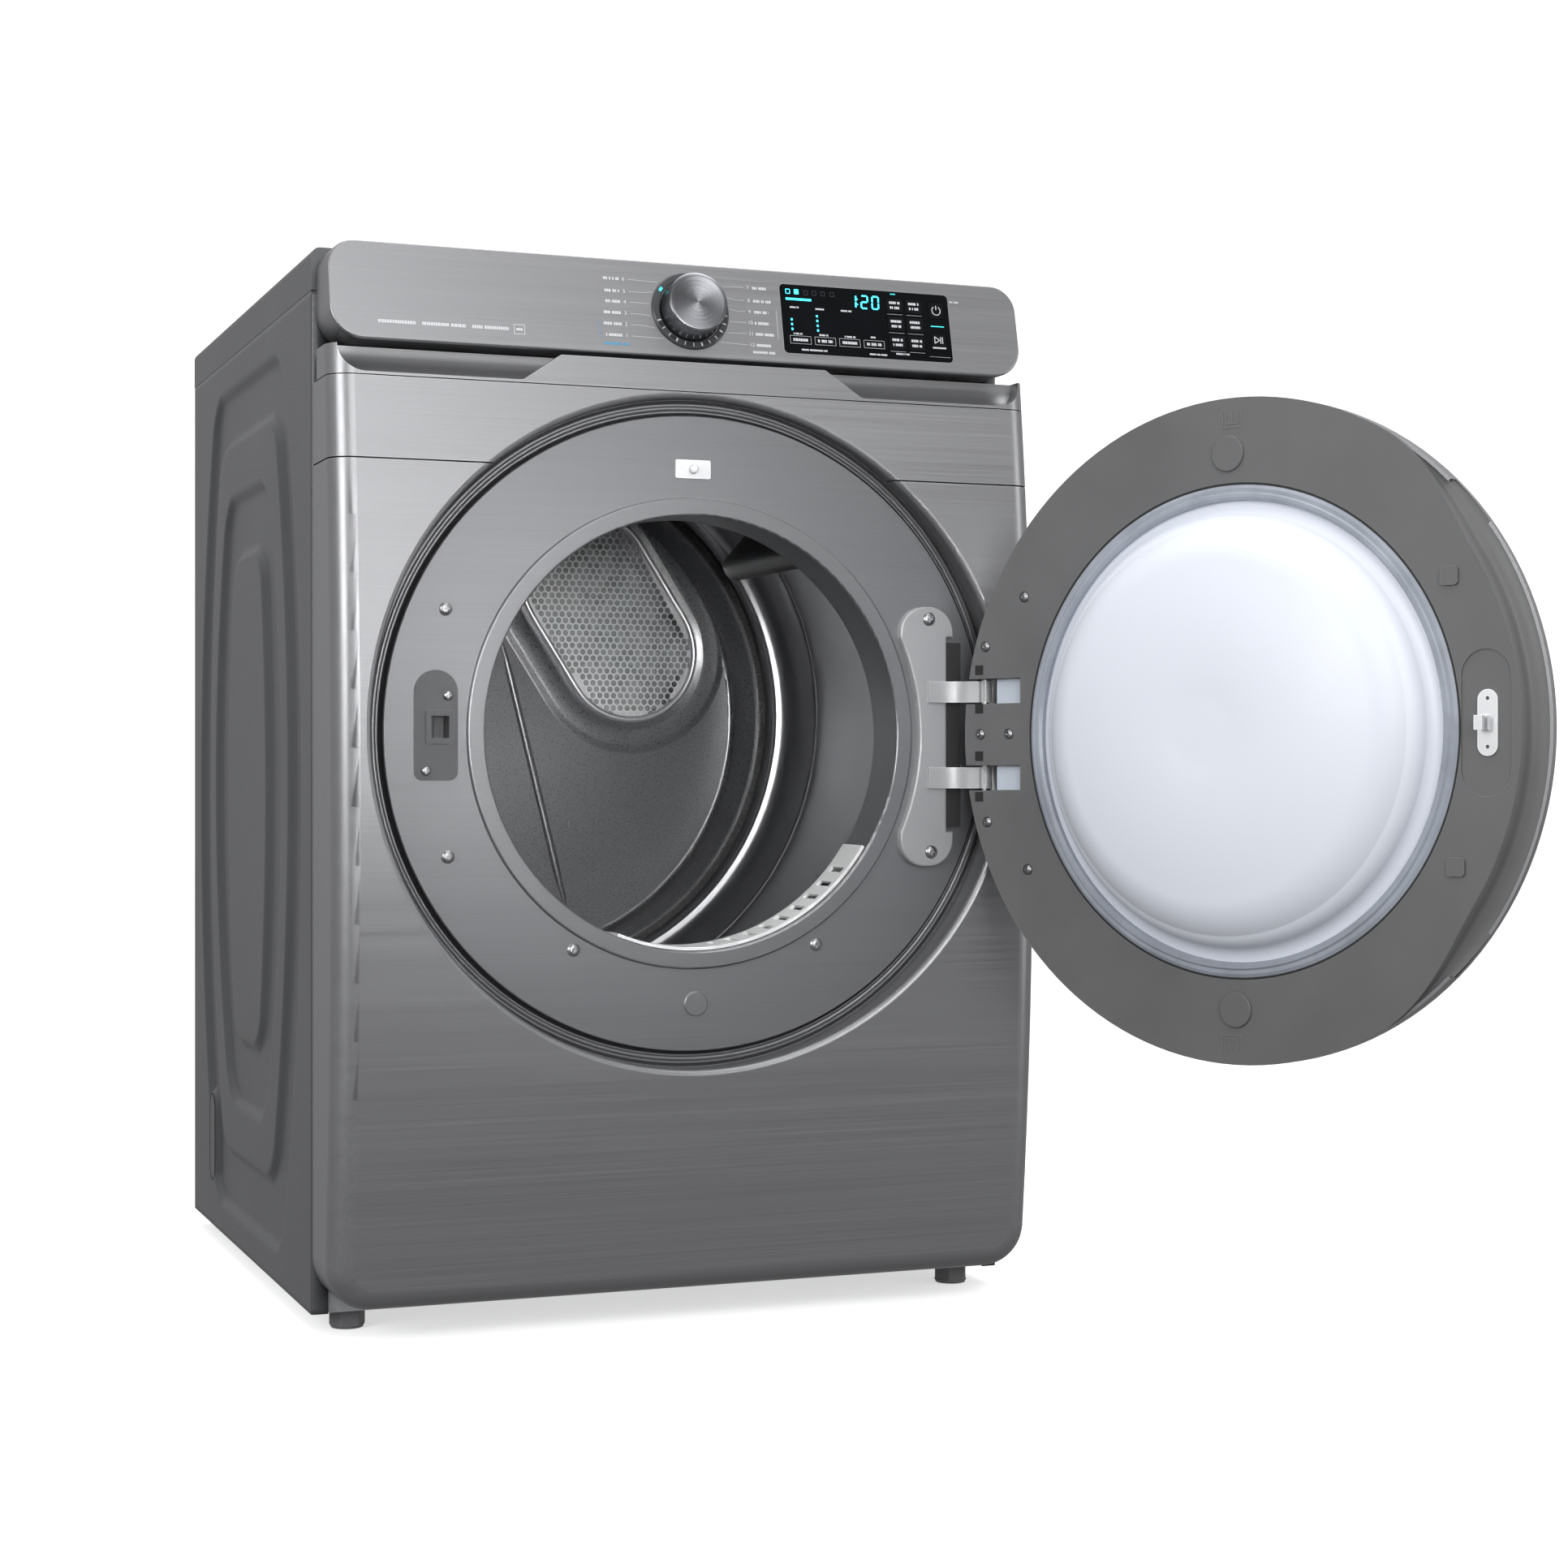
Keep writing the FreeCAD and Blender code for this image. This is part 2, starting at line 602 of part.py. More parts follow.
# ---------------------------------------------------------------- door surround and its fittings
FRONT_SCREWS = [(-237.0, 654.5), (-235.0, 432.8), (-118.0, 346.8), (120.0, 346.6)]
HINGE_SCREWS = [(233.6, 654.9), (236.0, 432.7)]
LATCH_SCREWS = [(-235.5, 577.0), (-255.5, 509.6)]
SCREW_RADIUS = 2.1
SCREW_HOLE = SCREW_RADIUS + 0.1
PLUG_Z = 294.4
HEAD_SINK = 1.8
PLUNGER_TIP = -409.4
HINGE_PLATE_Y = DISC_Y - 8.0
LATCH_PLATE_Y = DISC_Y - 2.0
FILTER_ANGLES = (-112.0, -32.0)
FILTER_POCKET = (28.0, 152.0)


def make_surround():
    steps = [(OPENING_RADIUS, -350), (OPENING_RADIUS, -403.5),
             ((OPENING_RADIUS + 0.6, -405), (OPENING_RADIUS + 2, -405.5)),
             (216, -405.5), ((217.2, -405), (217.6, -404)), (218.4, DISC_Y), (DISC_RADIUS - 1, DISC_Y),
             (DISC_RADIUS, DISC_Y + 1), (DISC_RADIUS + 1.5, CHANNEL_Y - 1.5), (DISC_RADIUS + 3, CHANNEL_Y),
             (RIM_RADIUS + 9, CHANNEL_Y), (RIM_RADIUS + 9, CHANNEL_Y + PLASTIC),
             (DISC_RADIUS, CHANNEL_Y + PLASTIC), (DISC_RADIUS - PLASTIC, DISC_Y + PLASTIC),
             (OPENING_RADIUS + PLASTIC, DISC_Y + PLASTIC), (OPENING_RADIUS + PLASTIC, -350)]
    ring = turned(steps, 0, OPENING_Z)
    plug = turned([(0, DISC_Y + 0.5), (11.5, DISC_Y + 0.5), (11.5, DISC_Y - 1), (10.5, DISC_Y - 2),
                   (0, DISC_Y - 2)], 0, PLUG_Z)
    ring = ring.fuse(plug)
    screw_places = FRONT_SCREWS + HINGE_SCREWS + LATCH_SCREWS
    cuts = [rod(SCREW_HOLE, THROUGH_DISC, x, z) for x, z in screw_places]
    cuts.append(block(about(SWITCH_X, 12), THROUGH_DISC, about(SWITCH_Z, 6)))
    cuts.append(block(about(LATCH_X, 12), THROUGH_DISC, about(LATCH_Z, 14)))
    cuts.append(block((FILTER_POCKET[0] - 1, FILTER_POCKET[1] + 1), (-389, -352), (320, 450)))
    write("door_surround", ring.cut(cuts).removeSplitter())


def screw(x, z, seat, facing=-1, head=6.0, length=11.0):
    """Pan-head screw with a cross recess. facing is -1 when its head looks towards -Y."""
    def y(out):
        return seat + facing * out
    body = turned([(0, y(-length)), (SCREW_RADIUS, y(-length)), (SCREW_RADIUS, y(0.05)), (head, y(0.05)),
                   (head, y(1.0)), ((head * 0.75, y(2.5)), (head * 0.2, y(3.2))), (0, y(3.2))], x, z)
    slot_y = sorted((y(1.4), y(4)))
    for half_x, half_z in ((2.6, 0.55), (0.55, 2.6)):
        body = body.cut(block(about(x, half_x), slot_y, about(z, half_z)))
    return body


def make_front_screws():
    screws = [screw(x, z, DISC_Y) for x, z in FRONT_SCREWS]
    screws += [screw(x, z, HINGE_PLATE_Y + HEAD_SINK, length=18.0) for x, z in HINGE_SCREWS]
    screws += [screw(x, z, LATCH_PLATE_Y, head=4.4) for x, z in LATCH_SCREWS]
    write("front_screws", Part.makeCompound(screws))


def make_latch_receiver():
    corners = rectangle((-266, -226), (501, 600))
    receiver = plate(corners, [8, 8, 19.8, 19.8], (LATCH_PLATE_Y, DISC_Y - CONTACT))
    rim_y = (LATCH_PLATE_Y - 2, DISC_Y - CONTACT)
    frame = rounded_plate(about(LATCH_X, 13), about(LATCH_Z, 15), 2.0, rim_y)
    pocket = block(about(LATCH_X, 11.5), (DISC_Y - CONTACT, -382), about(LATCH_Z, 13.5))
    receiver = joined([receiver, frame, pocket])
    receiver = receiver.cut(block(about(LATCH_X, 8.5), (-420, -384), about(LATCH_Z, 10)))
    catch_foot = Vector(LATCH_X - 4.5, -392, LATCH_Z - 10.2)
    catch = Part.makeCylinder(2.0, 20.5, catch_foot, Vector(0, 0, 1))
    holes = [rod(SCREW_HOLE, THROUGH_DISC, x, z) for x, z in LATCH_SCREWS]
    write("latch_receiver", receiver.fuse(catch).cut(holes))


def make_door_switch():
    cover_y = (DISC_Y - 1.8, DISC_Y - CONTACT)
    cover = rounded_plate(about(SWITCH_X, 17), about(SWITCH_Z, 8.5), 1.5, cover_y)
    can = block(about(SWITCH_X, 11), (DISC_Y - 1, -378), about(SWITCH_Z, 5))
    bore = rod(4.4, (-420, -382), SWITCH_X, SWITCH_Z)
    write("door_switch_housing", joined([cover, can]).cut(bore))
    tip = PLUNGER_TIP
    steps = [(0, -388), (4, -388), (4, tip + 3.4), ((3.2, tip + 1), (1, tip)), (0, tip)]
    write("door_switch_plunger", turned(steps, SWITCH_X, SWITCH_Z))


def make_hinge_bracket():
    leaf = rounded_plate((204, 259), (419, 667), 25.0, (HINGE_PLATE_Y, DISC_Y - CONTACT))
    leaf = leaf.cut(rod(224, THROUGH_PLATE, 0, OPENING_Z))
    leaf = leaf.cut(block((252, 270), THROUGH_PLATE, (452, 638)))
    outer_edges = [e for e in leaf.Edges if all(abs(v.Y - HINGE_PLATE_Y) < 0.01 for v in e.Vertexes)]
    leaf = leaf.makeFillet(2.0, outer_edges)
    for x, z in HINGE_SCREWS:
        leaf = leaf.cut(rod(SCREW_HOLE, THROUGH_PLATE, x, z))
        leaf = leaf.cut(rod(6.8, (-450, HINGE_PLATE_Y + HEAD_SINK), x, z))
    pieces = [leaf] + [hinge_arm(OPENING_Z + offset) for offset in ARM_OFFSETS]
    write("hinge_bracket", joined(pieces))


def hinge_arm(z):
    """Goose-neck arm from the leaf to its eye on the hinge pin."""
    low = z - ARM_HEIGHT / 2
    seat = HINGE_PLATE_Y
    steps = [(232, seat + 1), (232, seat - 3.2), (243, seat - 4.0),
             ((262, seat - 9.5), (PIN_X - 11, PIN_Y + 2.5)), (PIN_X - 2, PIN_Y - EYE_RADIUS + 0.6),
             (PIN_X + 3, PIN_Y - 2), (PIN_X - 4, PIN_Y + EYE_RADIUS - 1.5),
             ((263, seat - 3.6), (250, seat + 0.4)), (250, seat + 1)]
    strap = outline_face(steps, lambda x, y: Vector(x, y, low)).extrude(Vector(0, 0, ARM_HEIGHT))
    eye = Part.makeCylinder(EYE_RADIUS, ARM_HEIGHT, Vector(PIN_X, PIN_Y, low))
    bore = Part.makeCylinder(PIN_RADIUS + PIN_CLEARANCE, ARM_HEIGHT + 2, Vector(PIN_X, PIN_Y, low - 1))
    return joined([strap, eye]).cut(bore)


# ---------------------------------------------------------------- door, built closed, then swung open
def swung(shape):
    """Turn a piece of the door from its closed place to its open place."""
    turned_shape = shape.copy()
    turned_shape.rotate(Vector(PIN_X, PIN_Y, 0), Vector(0, 0, 1), DOOR_OPEN)
    return turned_shape


def door_y(depth):
    """Y, with the door closed, of a point at a depth behind its inner face."""
    return DOOR_PLANE - depth


def door_turned(steps):
    """Solid turned about the door's centre line. Steps are (radius, depth)."""
    def shifted(step):
        if isinstance(step[0], tuple):
            return tuple((radius, door_y(depth)) for radius, depth in step)
        return (step[0], door_y(step[1]))
    return turned([shifted(step) for step in steps], 0, OPENING_Z)


def grip_plate(outer, inner, depth):
    """Round plate whose edge moves in from outer to inner on the grip side."""
    def edge_point(angle):
        away = abs(angle)
        share = min(max((GRIP_END - away) / (GRIP_END - GRIP_FULL), 0), 1)
        radius = outer - (outer - inner) * share * share * (3 - 2 * share)
        a = math.radians(180 + angle)
        return Vector(radius * math.cos(a), door_y(depth[0]), OPENING_Z + radius * math.sin(a))
    grip_angles = [GRIP_END * (i / 15 - 1) for i in range(31)]
    curve = Part.BSplineCurve()
    curve.interpolate([edge_point(angle) for angle in grip_angles])
    far = Vector(outer, door_y(depth[0]), OPENING_Z)
    arc = Part.Arc(edge_point(GRIP_END), far, edge_point(-GRIP_END))
    face = Part.Face(Part.Wire([curve.toShape(), arc.toShape()]))
    return face.extrude(Vector(0, depth[0] - depth[1], 0))


DOOR_SCREWS = [(225.0, 128.0), (270.0, 83.0), (276.0, 0.0), (243.0, 0.0), (268.0, -83.0), (221.0, -127.0)]
SLOT_HALF = 12.0
POCKET_DEPTH = 24.5
BOSS_HALF = 17.0
SKIRT_INSET = 4.6
STRIKE_SEAT = 1.5
BUMPER_HEIGHT = 2.4
DOME_SEAT = 250.0


def hinge_slot(z):
    """Hollow that the arm at height z needs in the door."""
    return block((229.5, 320), (door_y(POCKET_DEPTH), door_y(-2)), about(z, SLOT_HALF))


def make_inner_frame():
    wall = PLASTIC
    disc = grip_plate(DOOR_RADIUS, GRIP_RADIUS, (0, wall))
    edge, low = DOOR_RADIUS - SKIRT_INSET, GRIP_DEPTH + wall
    skirt = grip_plate(edge, GRIP_RADIUS - 0.05, (0.5, low))
    hollow = grip_plate(edge - wall, GRIP_RADIUS - wall, (wall, low + 1))
    floor = door_turned([(0, GRIP_DEPTH), (edge, GRIP_DEPTH), (edge, low), (0, low)])
    shell = joined([disc, skirt, floor]).cut(hollow)
    shell = shell.cut(rod(DOOR_BORE, (door_y(60), door_y(-5)), 0, OPENING_Z))
    collar = door_turned([(DOOR_BORE, 0.2), (DOOR_BORE + wall, 0.2), (DOOR_BORE + wall, 14.5),
                          (206, 14.5), (206, 12.5), (DOOR_BORE, 12.5)])
    pieces = [shell, collar]
    for offset in ARM_OFFSETS:
        z = OPENING_Z + offset
        pocket_y = (door_y(POCKET_DEPTH + 1.5), door_y(1))
        pieces.append(block((228, 276), pocket_y, about(z, SLOT_HALF + 1.5)))
        pieces.append(block((PIN_X - 8, PIN_X + 5), (door_y(22), door_y(1)), about(z, BOSS_HALF)))
    frame = joined(pieces)
    cuts = []
    for offset in ARM_OFFSETS:
        z = OPENING_Z + offset
        cuts.append(hinge_slot(z))
        cuts.append(Part.makeCylinder(PIN_RADIUS + CONTACT, 50, Vector(PIN_X, PIN_Y, z - 25)))
    cuts += [rod(SCREW_HOLE, (door_y(13), door_y(-2)), x, OPENING_Z + z) for x, z in DOOR_SCREWS]
    cuts += [rod(5.6, (door_y(STRIKE_SEAT), door_y(-2)), x, OPENING_Z + z) for x, z in DOOR_SCREWS]
    strike_seat = rectangle((-264, -219), about(LATCH_Z, 61))
    cuts.append(plate(strike_seat, [22.4] * 4, (door_y(STRIKE_SEAT), door_y(-2))))
    write("door_inner_frame", swung(frame.cut(cuts)))


def make_door_rim():
    r, d = DOOR_RADIUS, RIM_DEPTH
    seat = DOME_SEAT + 0.6
    steps = [(r - 2.5, 3.0), (r, 3.0), (r, 16.0), ((r - 4.9, d - 5.6), (r - 15.5, d)), (seat, d + 2.0),
             (seat, d - 0.5), (r - 16, d - 2.5), ((r - 6.8, d - 7.4), (r - 2.5, 15.8))]
    notch_half = BOSS_HALF + 1.5
    notches = [block((PIN_X - 12, 320), (door_y(POCKET_DEPTH), door_y(-2)), about(z, notch_half))
               for z in (OPENING_Z + offset for offset in ARM_OFFSETS)]
    half = math.radians(GRIP_FULL + 13)
    near, side = -400 * math.cos(half), 400 * math.sin(half)
    corners = [(0, OPENING_Z), (near, OPENING_Z - side), (-420, OPENING_Z), (near, OPENING_Z + side)]
    finger_gap = plate(corners, [0] * 4, (door_y(LIP_DEPTH), door_y(-2)))
    ring = door_turned(steps).cut(notches + [finger_gap])
    write("door_outer_ring", swung(ring))
    w = WINDOW_DEPTH
    dome = [(DOME_SEAT, d - 0.4), (DOME_SEAT, d + 1.8), (246, d + 2.6), ((226, w - 5.5), (190, w - 1.6)),
            ((105, w - 0.4), (30, w)), (0, w), (0, w - 3.5), (30, w - 3.5),
            ((105, w - 3.9), (188, w - 5.1)), ((223, w - 9), (242, d - 0.4))]
    write("door_window", swung(door_turned(dome)))


def make_door_glass():
    b = BOWL_DEPTH
    rim = [(217, 8.0), (217, 4.0), (203, 4.0), ((197, 2.0), (191, -5))]
    outside = [((187, -14), (180, -20)), ((166, -32), (146, 11 - b)), ((100, 3.5 - b), (30, 1 - b)),
               (0, 1 - b)]
    inside = [(0, 5 - b), (30, 5 - b), ((98, 7.4 - b), (144, 14.8 - b)), ((163, -28.6), (176.5, -17)),
              ((183.5, -11.5), (187, -3))]
    steps = rim + outside + inside + [((192, 5.5), (203, 8.0))]
    write("door_glass", swung(door_turned(steps)))
    ring = [(203.6, 3.8), (203.6, -1.0), (206, -3.0), (209, -3.0), (210.5, -1.4), (214, -1.4),
            (217.0, 0.4), (217.0, 3.8)]
    write("glass_clamp_ring", swung(door_turned(ring)))
    seal = [(206, 8.2), (217.3, 8.2), (217.3, 0.0), (218.7, 0.0), (218.7, 12.3), (206, 12.3)]
    write("door_seal", swung(door_turned(seal)))


def make_door_fittings():
    seat = door_y(STRIKE_SEAT)
    strike_outline = rectangle(about(LATCH_X, 9), about(LATCH_Z, 27.5))
    strike = plate(strike_outline, [8.8] * 4, (seat + CONTACT, seat + 2))
    tongue = block((LATCH_X - 1.6, LATCH_X + 6), (seat + 1, seat + 15), about(LATCH_Z, 6))
    slot = block((LATCH_X - 5, LATCH_X + 2.4), (seat + 5.5, seat + 12), about(LATCH_Z, 9))
    tongue = tongue.cut(slot)
    strike_holes = [rod(1.7, (seat - 1, seat + 5), LATCH_X, LATCH_Z + dz) for dz in (-20, 20)]
    write("door_strike", swung(joined([strike, tongue]).cut(strike_holes)))
    bumpers = []
    low = door_y(-CONTACT)
    high = low + BUMPER_HEIGHT
    for x, z in ((4, 245), (-4, -245)):
        steps = [(0, low), (16, low), (16, low + 1.4), ((15.6, low + 2.1), (15, high)), (0, high)]
        bumpers.append(turned(steps, x, OPENING_Z + z))
    for x, z in ((-209, 127), (-215, -115)):
        bumpers.append(rounded_plate(about(x, 8), about(OPENING_Z + z, 8), 3.5, (low, high)))
    write("door_bumpers", swung(Part.makeCompound(bumpers)))
    screws = [screw(x, OPENING_Z + z, seat, facing=1, head=4.6, length=8.0) for x, z in DOOR_SCREWS]
    write("door_screws", swung(Part.makeCompound(screws)))
    pin_half = BOSS_HALF - 0.5
    pins = [Part.makeCylinder(PIN_RADIUS, 2 * pin_half, Vector(PIN_X, PIN_Y, OPENING_Z + offset - pin_half))
            for offset in ARM_OFFSETS]
    write("hinge_pins", swung(Part.makeCompound(pins)))


# ---------------------------------------------------------------- drum and its supports
def make_drum():
    w = DRUM_WALL
    inner = [(NECK_FRONT, DRUM_FRONT), (NECK_FRONT, -322), ((NECK_FRONT + 11, -318), (DRUM_INNER, -304)),
             (DRUM_INNER, -146), ((DRUM_INNER - 3, -142), (DRUM_INNER, -138)),
             (DRUM_INNER, -92), ((DRUM_INNER - 3, -88), (DRUM_INNER, -84)),
             (DRUM_INNER, 92), ((DRUM_INNER - 3, 96), (DRUM_INNER, 100)),
             (DRUM_INNER, 110), ((DRUM_INNER - 3.5, 136), (DRUM_INNER - 15, 152)),
             ((NECK_REAR + 4, 163), (NECK_REAR, 174)), (NECK_REAR, DRUM_REAR)]

    def outward(step):
        if isinstance(step[0], tuple):
            return (step[0][0] + w, step[0][1])
        return (step[0] + w, step[1])
    outside = []
    for here, before in reversed(list(zip(inner[1:], inner[:-1]))):
        start = before[1] if isinstance(before[0], tuple) else before
        if isinstance(here[0], tuple):
            outside.append((outward(here), outward((start[0], start[1]))))
        else:
            outside.append(outward(start))
    first_out = (NECK_REAR + w, DRUM_REAR)
    write("drum_shell", turned(inner + [first_out] + outside, 0, DRUM_Z))
    baffles = []
    for angle in BAFFLE_ANGLES:
        shell = baffle(0.0).cut(baffle(PLASTIC))
        shell.rotate(Vector(0, 0, 0), Y_AXIS, -angle)
        shell.translate(Vector(0, 0, DRUM_Z))
        baffles.append(shell.common(rod(DRUM_INNER - 3.4, (-330, 130), 0, DRUM_Z)))
    write("drum_baffles", Part.makeCompound(baffles))


def baffle(inset):
    """Lifting vane about the drum's centre line, pointing along +X."""
    crest = DRUM_INNER - BAFFLE_HEIGHT + inset
    shoulder = crest + 12
    base = DRUM_INNER + 2 * inset
    steps = [(-26 + inset, base), (-15 + inset, shoulder), ((0, crest), (15 - inset, shoulder)),
             (26 - inset, base)]
    face = outline_face(steps, lambda across, radius: Vector(radius, -296 + inset, across))
    return face.extrude(Vector(0, 380 - 2 * inset, 0))


def roller_place(angle):
    reach = NECK_REAR + DRUM_WALL + ROLLER_RADIUS + ROLLER_GAP
    a = math.radians(angle)
    return reach * math.cos(a), DRUM_Z + reach * math.sin(a)


def make_rollers():
    for side, angle in ROLLER_ANGLES.items():
        x, z = roller_place(angle)
        tread = ROLLER_RADIUS
        low, high = ROLLER_Y
        steps = [(AXLE_BORE, low), (11, low), (11, low + 3), (27, low + 3), (27, low),
                 (tread - 1, low), (tread, low + 1), (tread, high - 1), (tread - 1, high),
                 (27, high), (27, high - 3), (11, high - 3), (11, high), (AXLE_BORE, high)]
        write(f"drum_roller_{side}", turned(steps, x, z))


def make_bulkheads():
    y = FRONT_BULKHEAD_Y
    across = (-BULKHEAD_HALF, BULKHEAD_HALF)
    front = block(across, (y, y + SHEET), (BULKHEAD_LOW, 890))
    doorway = rod(206, THROUGH_BULKHEAD, 0, OPENING_Z)
    intake = rod(60, THROUGH_BULKHEAD, MOTOR_X, MOTOR_Z)
    front = front.cut([doorway, intake])
    ring = tube(298.0, 295.8, (y + 0.5, -324), 0, DRUM_Z)
    write("front_bulkhead", joined([front, ring]))
    y = REAR_BULKHEAD_Y
    rear = block(across, (y, y + SHEET), (BULKHEAD_LOW, 928))
    rear = rear.cut([rod(283, about(y, 5), 0, DRUM_Z), rod(DUCT_RADIUS + 1, about(y, 5), 0, DUCT_Z)])
    w = 1.4
    r = DISH_RADIUS
    dish = turned([(0, DISH_Y), (r - 8, DISH_Y), ((r - 3, DISH_Y - 2), (r - 1, DISH_Y - 8)),
                   (282.4, 188), (282.4, 180), (284.4, 180), (284.4, y + SHEET), (r + 3.2, y + SHEET + 4),
                   (r + 0.6, DISH_Y - 8), ((r - 1.8, DISH_Y - 0.4), (r - 8, DISH_Y + w)),
                   (0, DISH_Y + w)], 0, DRUM_Z)
    axles = []
    for angle in ROLLER_ANGLES.values():
        x, z = roller_place(angle)
        axles.append(rod(AXLE_RADIUS, (166, y + 0.6), x, z))
    rear = joined([rear, dish] + axles)
    rear = rear.cut(stadium(GRILLE_LOW, GRILLE_HIGH, GRILLE_RADIUS - 3, (DISH_Y - 5, DISH_Y + 10)))
    write("rear_bulkhead", rear)
    front_felt = tube(NECK_FRONT - 0.5, 298.2, (-343, -325), 0, DRUM_Z)
    rear_felt = tube(NECK_REAR - 0.5, 284.6, (181, 203), 0, DRUM_Z)
    write("drum_seals", Part.makeCompound([front_felt, rear_felt]))


def make_air_grille():
    y = DISH_Y - 3.4
    sheet = stadium(GRILLE_LOW, GRILLE_HIGH, GRILLE_RADIUS, (y, y + 1.5))
    rim = stadium(GRILLE_LOW, GRILLE_HIGH, GRILLE_RADIUS + 3, (y - 3, DISH_Y - 0.05))
    rim = rim.cut(stadium(GRILLE_LOW, GRILLE_HIGH, GRILLE_RADIUS - 3, (y - 5, DISH_Y + 5)))
    holes = []
    rows = int(2 * (GRILLE_RADIUS + 60) / (GRILLE_PITCH * math.sin(math.radians(60))))
    for row in range(-rows, rows):
        for column in range(-rows, rows):
            x = GRILLE_LOW[0] + GRILLE_PITCH * (column + 0.5 * (row % 2))
            z = GRILLE_LOW[1] + GRILLE_PITCH * math.sin(math.radians(60)) * row
            if distance_to_slot(x, z) < GRILLE_RADIUS - GRILLE_HOLE - 5:
                holes.append(rod(GRILLE_HOLE, about(y, 5), x, z))
    write("air_grille", joined([sheet, rim]).cut(holes))


def distance_to_slot(x, z):
    """Distance from a point to the line between the two centres of the grille."""
    ax, az = GRILLE_LOW
    bx, bz = GRILLE_HIGH
    along = ((x - ax) * (bx - ax) + (z - az) * (bz - az)) / ((bx - ax) ** 2 + (bz - az) ** 2)
    along = min(max(along, 0), 1)
    return math.hypot(x - ax - along * (bx - ax), z - az - along * (bz - az))


# ---------------------------------------------------------------- drive, heat and air
def make_drive():
    body = rod(68, (-165, 5), MOTOR_X, MOTOR_Z)
    cradle = block(about(MOTOR_X, 60), (-140, -20), (PANEL_BOTTOM + 0.65 + SHEET, 110))
    cradle = cradle.cut(block(about(MOTOR_X, 54), (-134, -26), (0, 104)))
    bearing = rod(20, (-176, 16), MOTOR_X, MOTOR_Z)
    motor = joined([body, cradle, bearing]).cut(rod(SHAFT_RADIUS + 0.06, (-200, 40), MOTOR_X, MOTOR_Z))
    write("motor_body", motor)
    shaft = rod(SHAFT_RADIUS, (-282, 50), MOTOR_X, MOTOR_Z)
    low, high = BELT_Y
    groove, flange = PULLEY_RADIUS, PULLEY_FLANGE
    steps = [(0, low - 2.5), (flange, low - 2.5), (flange, low - 0.8), (groove, low - 0.8),
             (groove, high + 0.8), (flange, high + 0.8), (flange, high + 2.5), (0, high + 2.5)]
    pulley = turned(steps, MOTOR_X, MOTOR_Z)
    write("motor_shaft", joined([shaft, pulley]))
    write("blower_wheel", blower_wheel())
    circles = [(0, DRUM_Z, DRUM_INNER + DRUM_WALL), (MOTOR_X, MOTOR_Z, PULLEY_RADIUS),
               (*IDLER_AT, IDLER_RADIUS)]
    outside = hull_of_circles(circles, BELT_GAP + BELT_THICKNESS, BELT_Y)
    write("drive_belt", outside.cut(hull_of_circles(circles, BELT_GAP, (low - 1, high + 1))))


def blower_wheel():
    """Squirrel-cage wheel on the front end of the motor shaft."""
    back_plate = tube(84, SHAFT_RADIUS, (-216, -214), MOTOR_X, MOTOR_Z)
    hub = tube(14, SHAFT_RADIUS, (-250, -214), MOTOR_X, MOTOR_Z)
    mouth = tube(84, 72, (-284, -282), MOTOR_X, MOTOR_Z)
    pieces = [back_plate, hub, mouth]
    count = 24
    for i in range(count):
        blade = block((-1.0, 1.0), (-283, -215), (72.5, 83.5))
        blade.rotate(Vector(0, 0, 78), Y_AXIS, 30)
        blade.rotate(Vector(0, 0, 0), Y_AXIS, 360 * i / count)
        blade.translate(Vector(MOTOR_X, 0, MOTOR_Z))
        pieces.append(blade)
    return joined(pieces)


def make_idler():
    low, high = BELT_Y
    x, z = IDLER_AT
    groove, flange = IDLER_RADIUS, IDLER_RADIUS + 3
    steps = [(AXLE_BORE, low - 2), (flange, low - 2), (flange, low - 0.5), (groove, low - 0.5),
             (groove, high + 0.5), (flange, high + 0.5), (flange, high + 2), (AXLE_BORE, high + 2)]
    write("idler_pulley", turned(steps, x, z))
    lever = stadium(IDLER_AT, IDLER_PIVOT, 11, (high + 3, high + 7))
    axle = rod(AXLE_RADIUS, (low - 4, high + 4), x, z)
    boss = rod(12, (high + 3, high + 12), *IDLER_PIVOT)
    bore = rod(AXLE_BORE, (high, high + 20), *IDLER_PIVOT)
    write("idler_arm", joined([lever, axle, boss]).cut(bore))


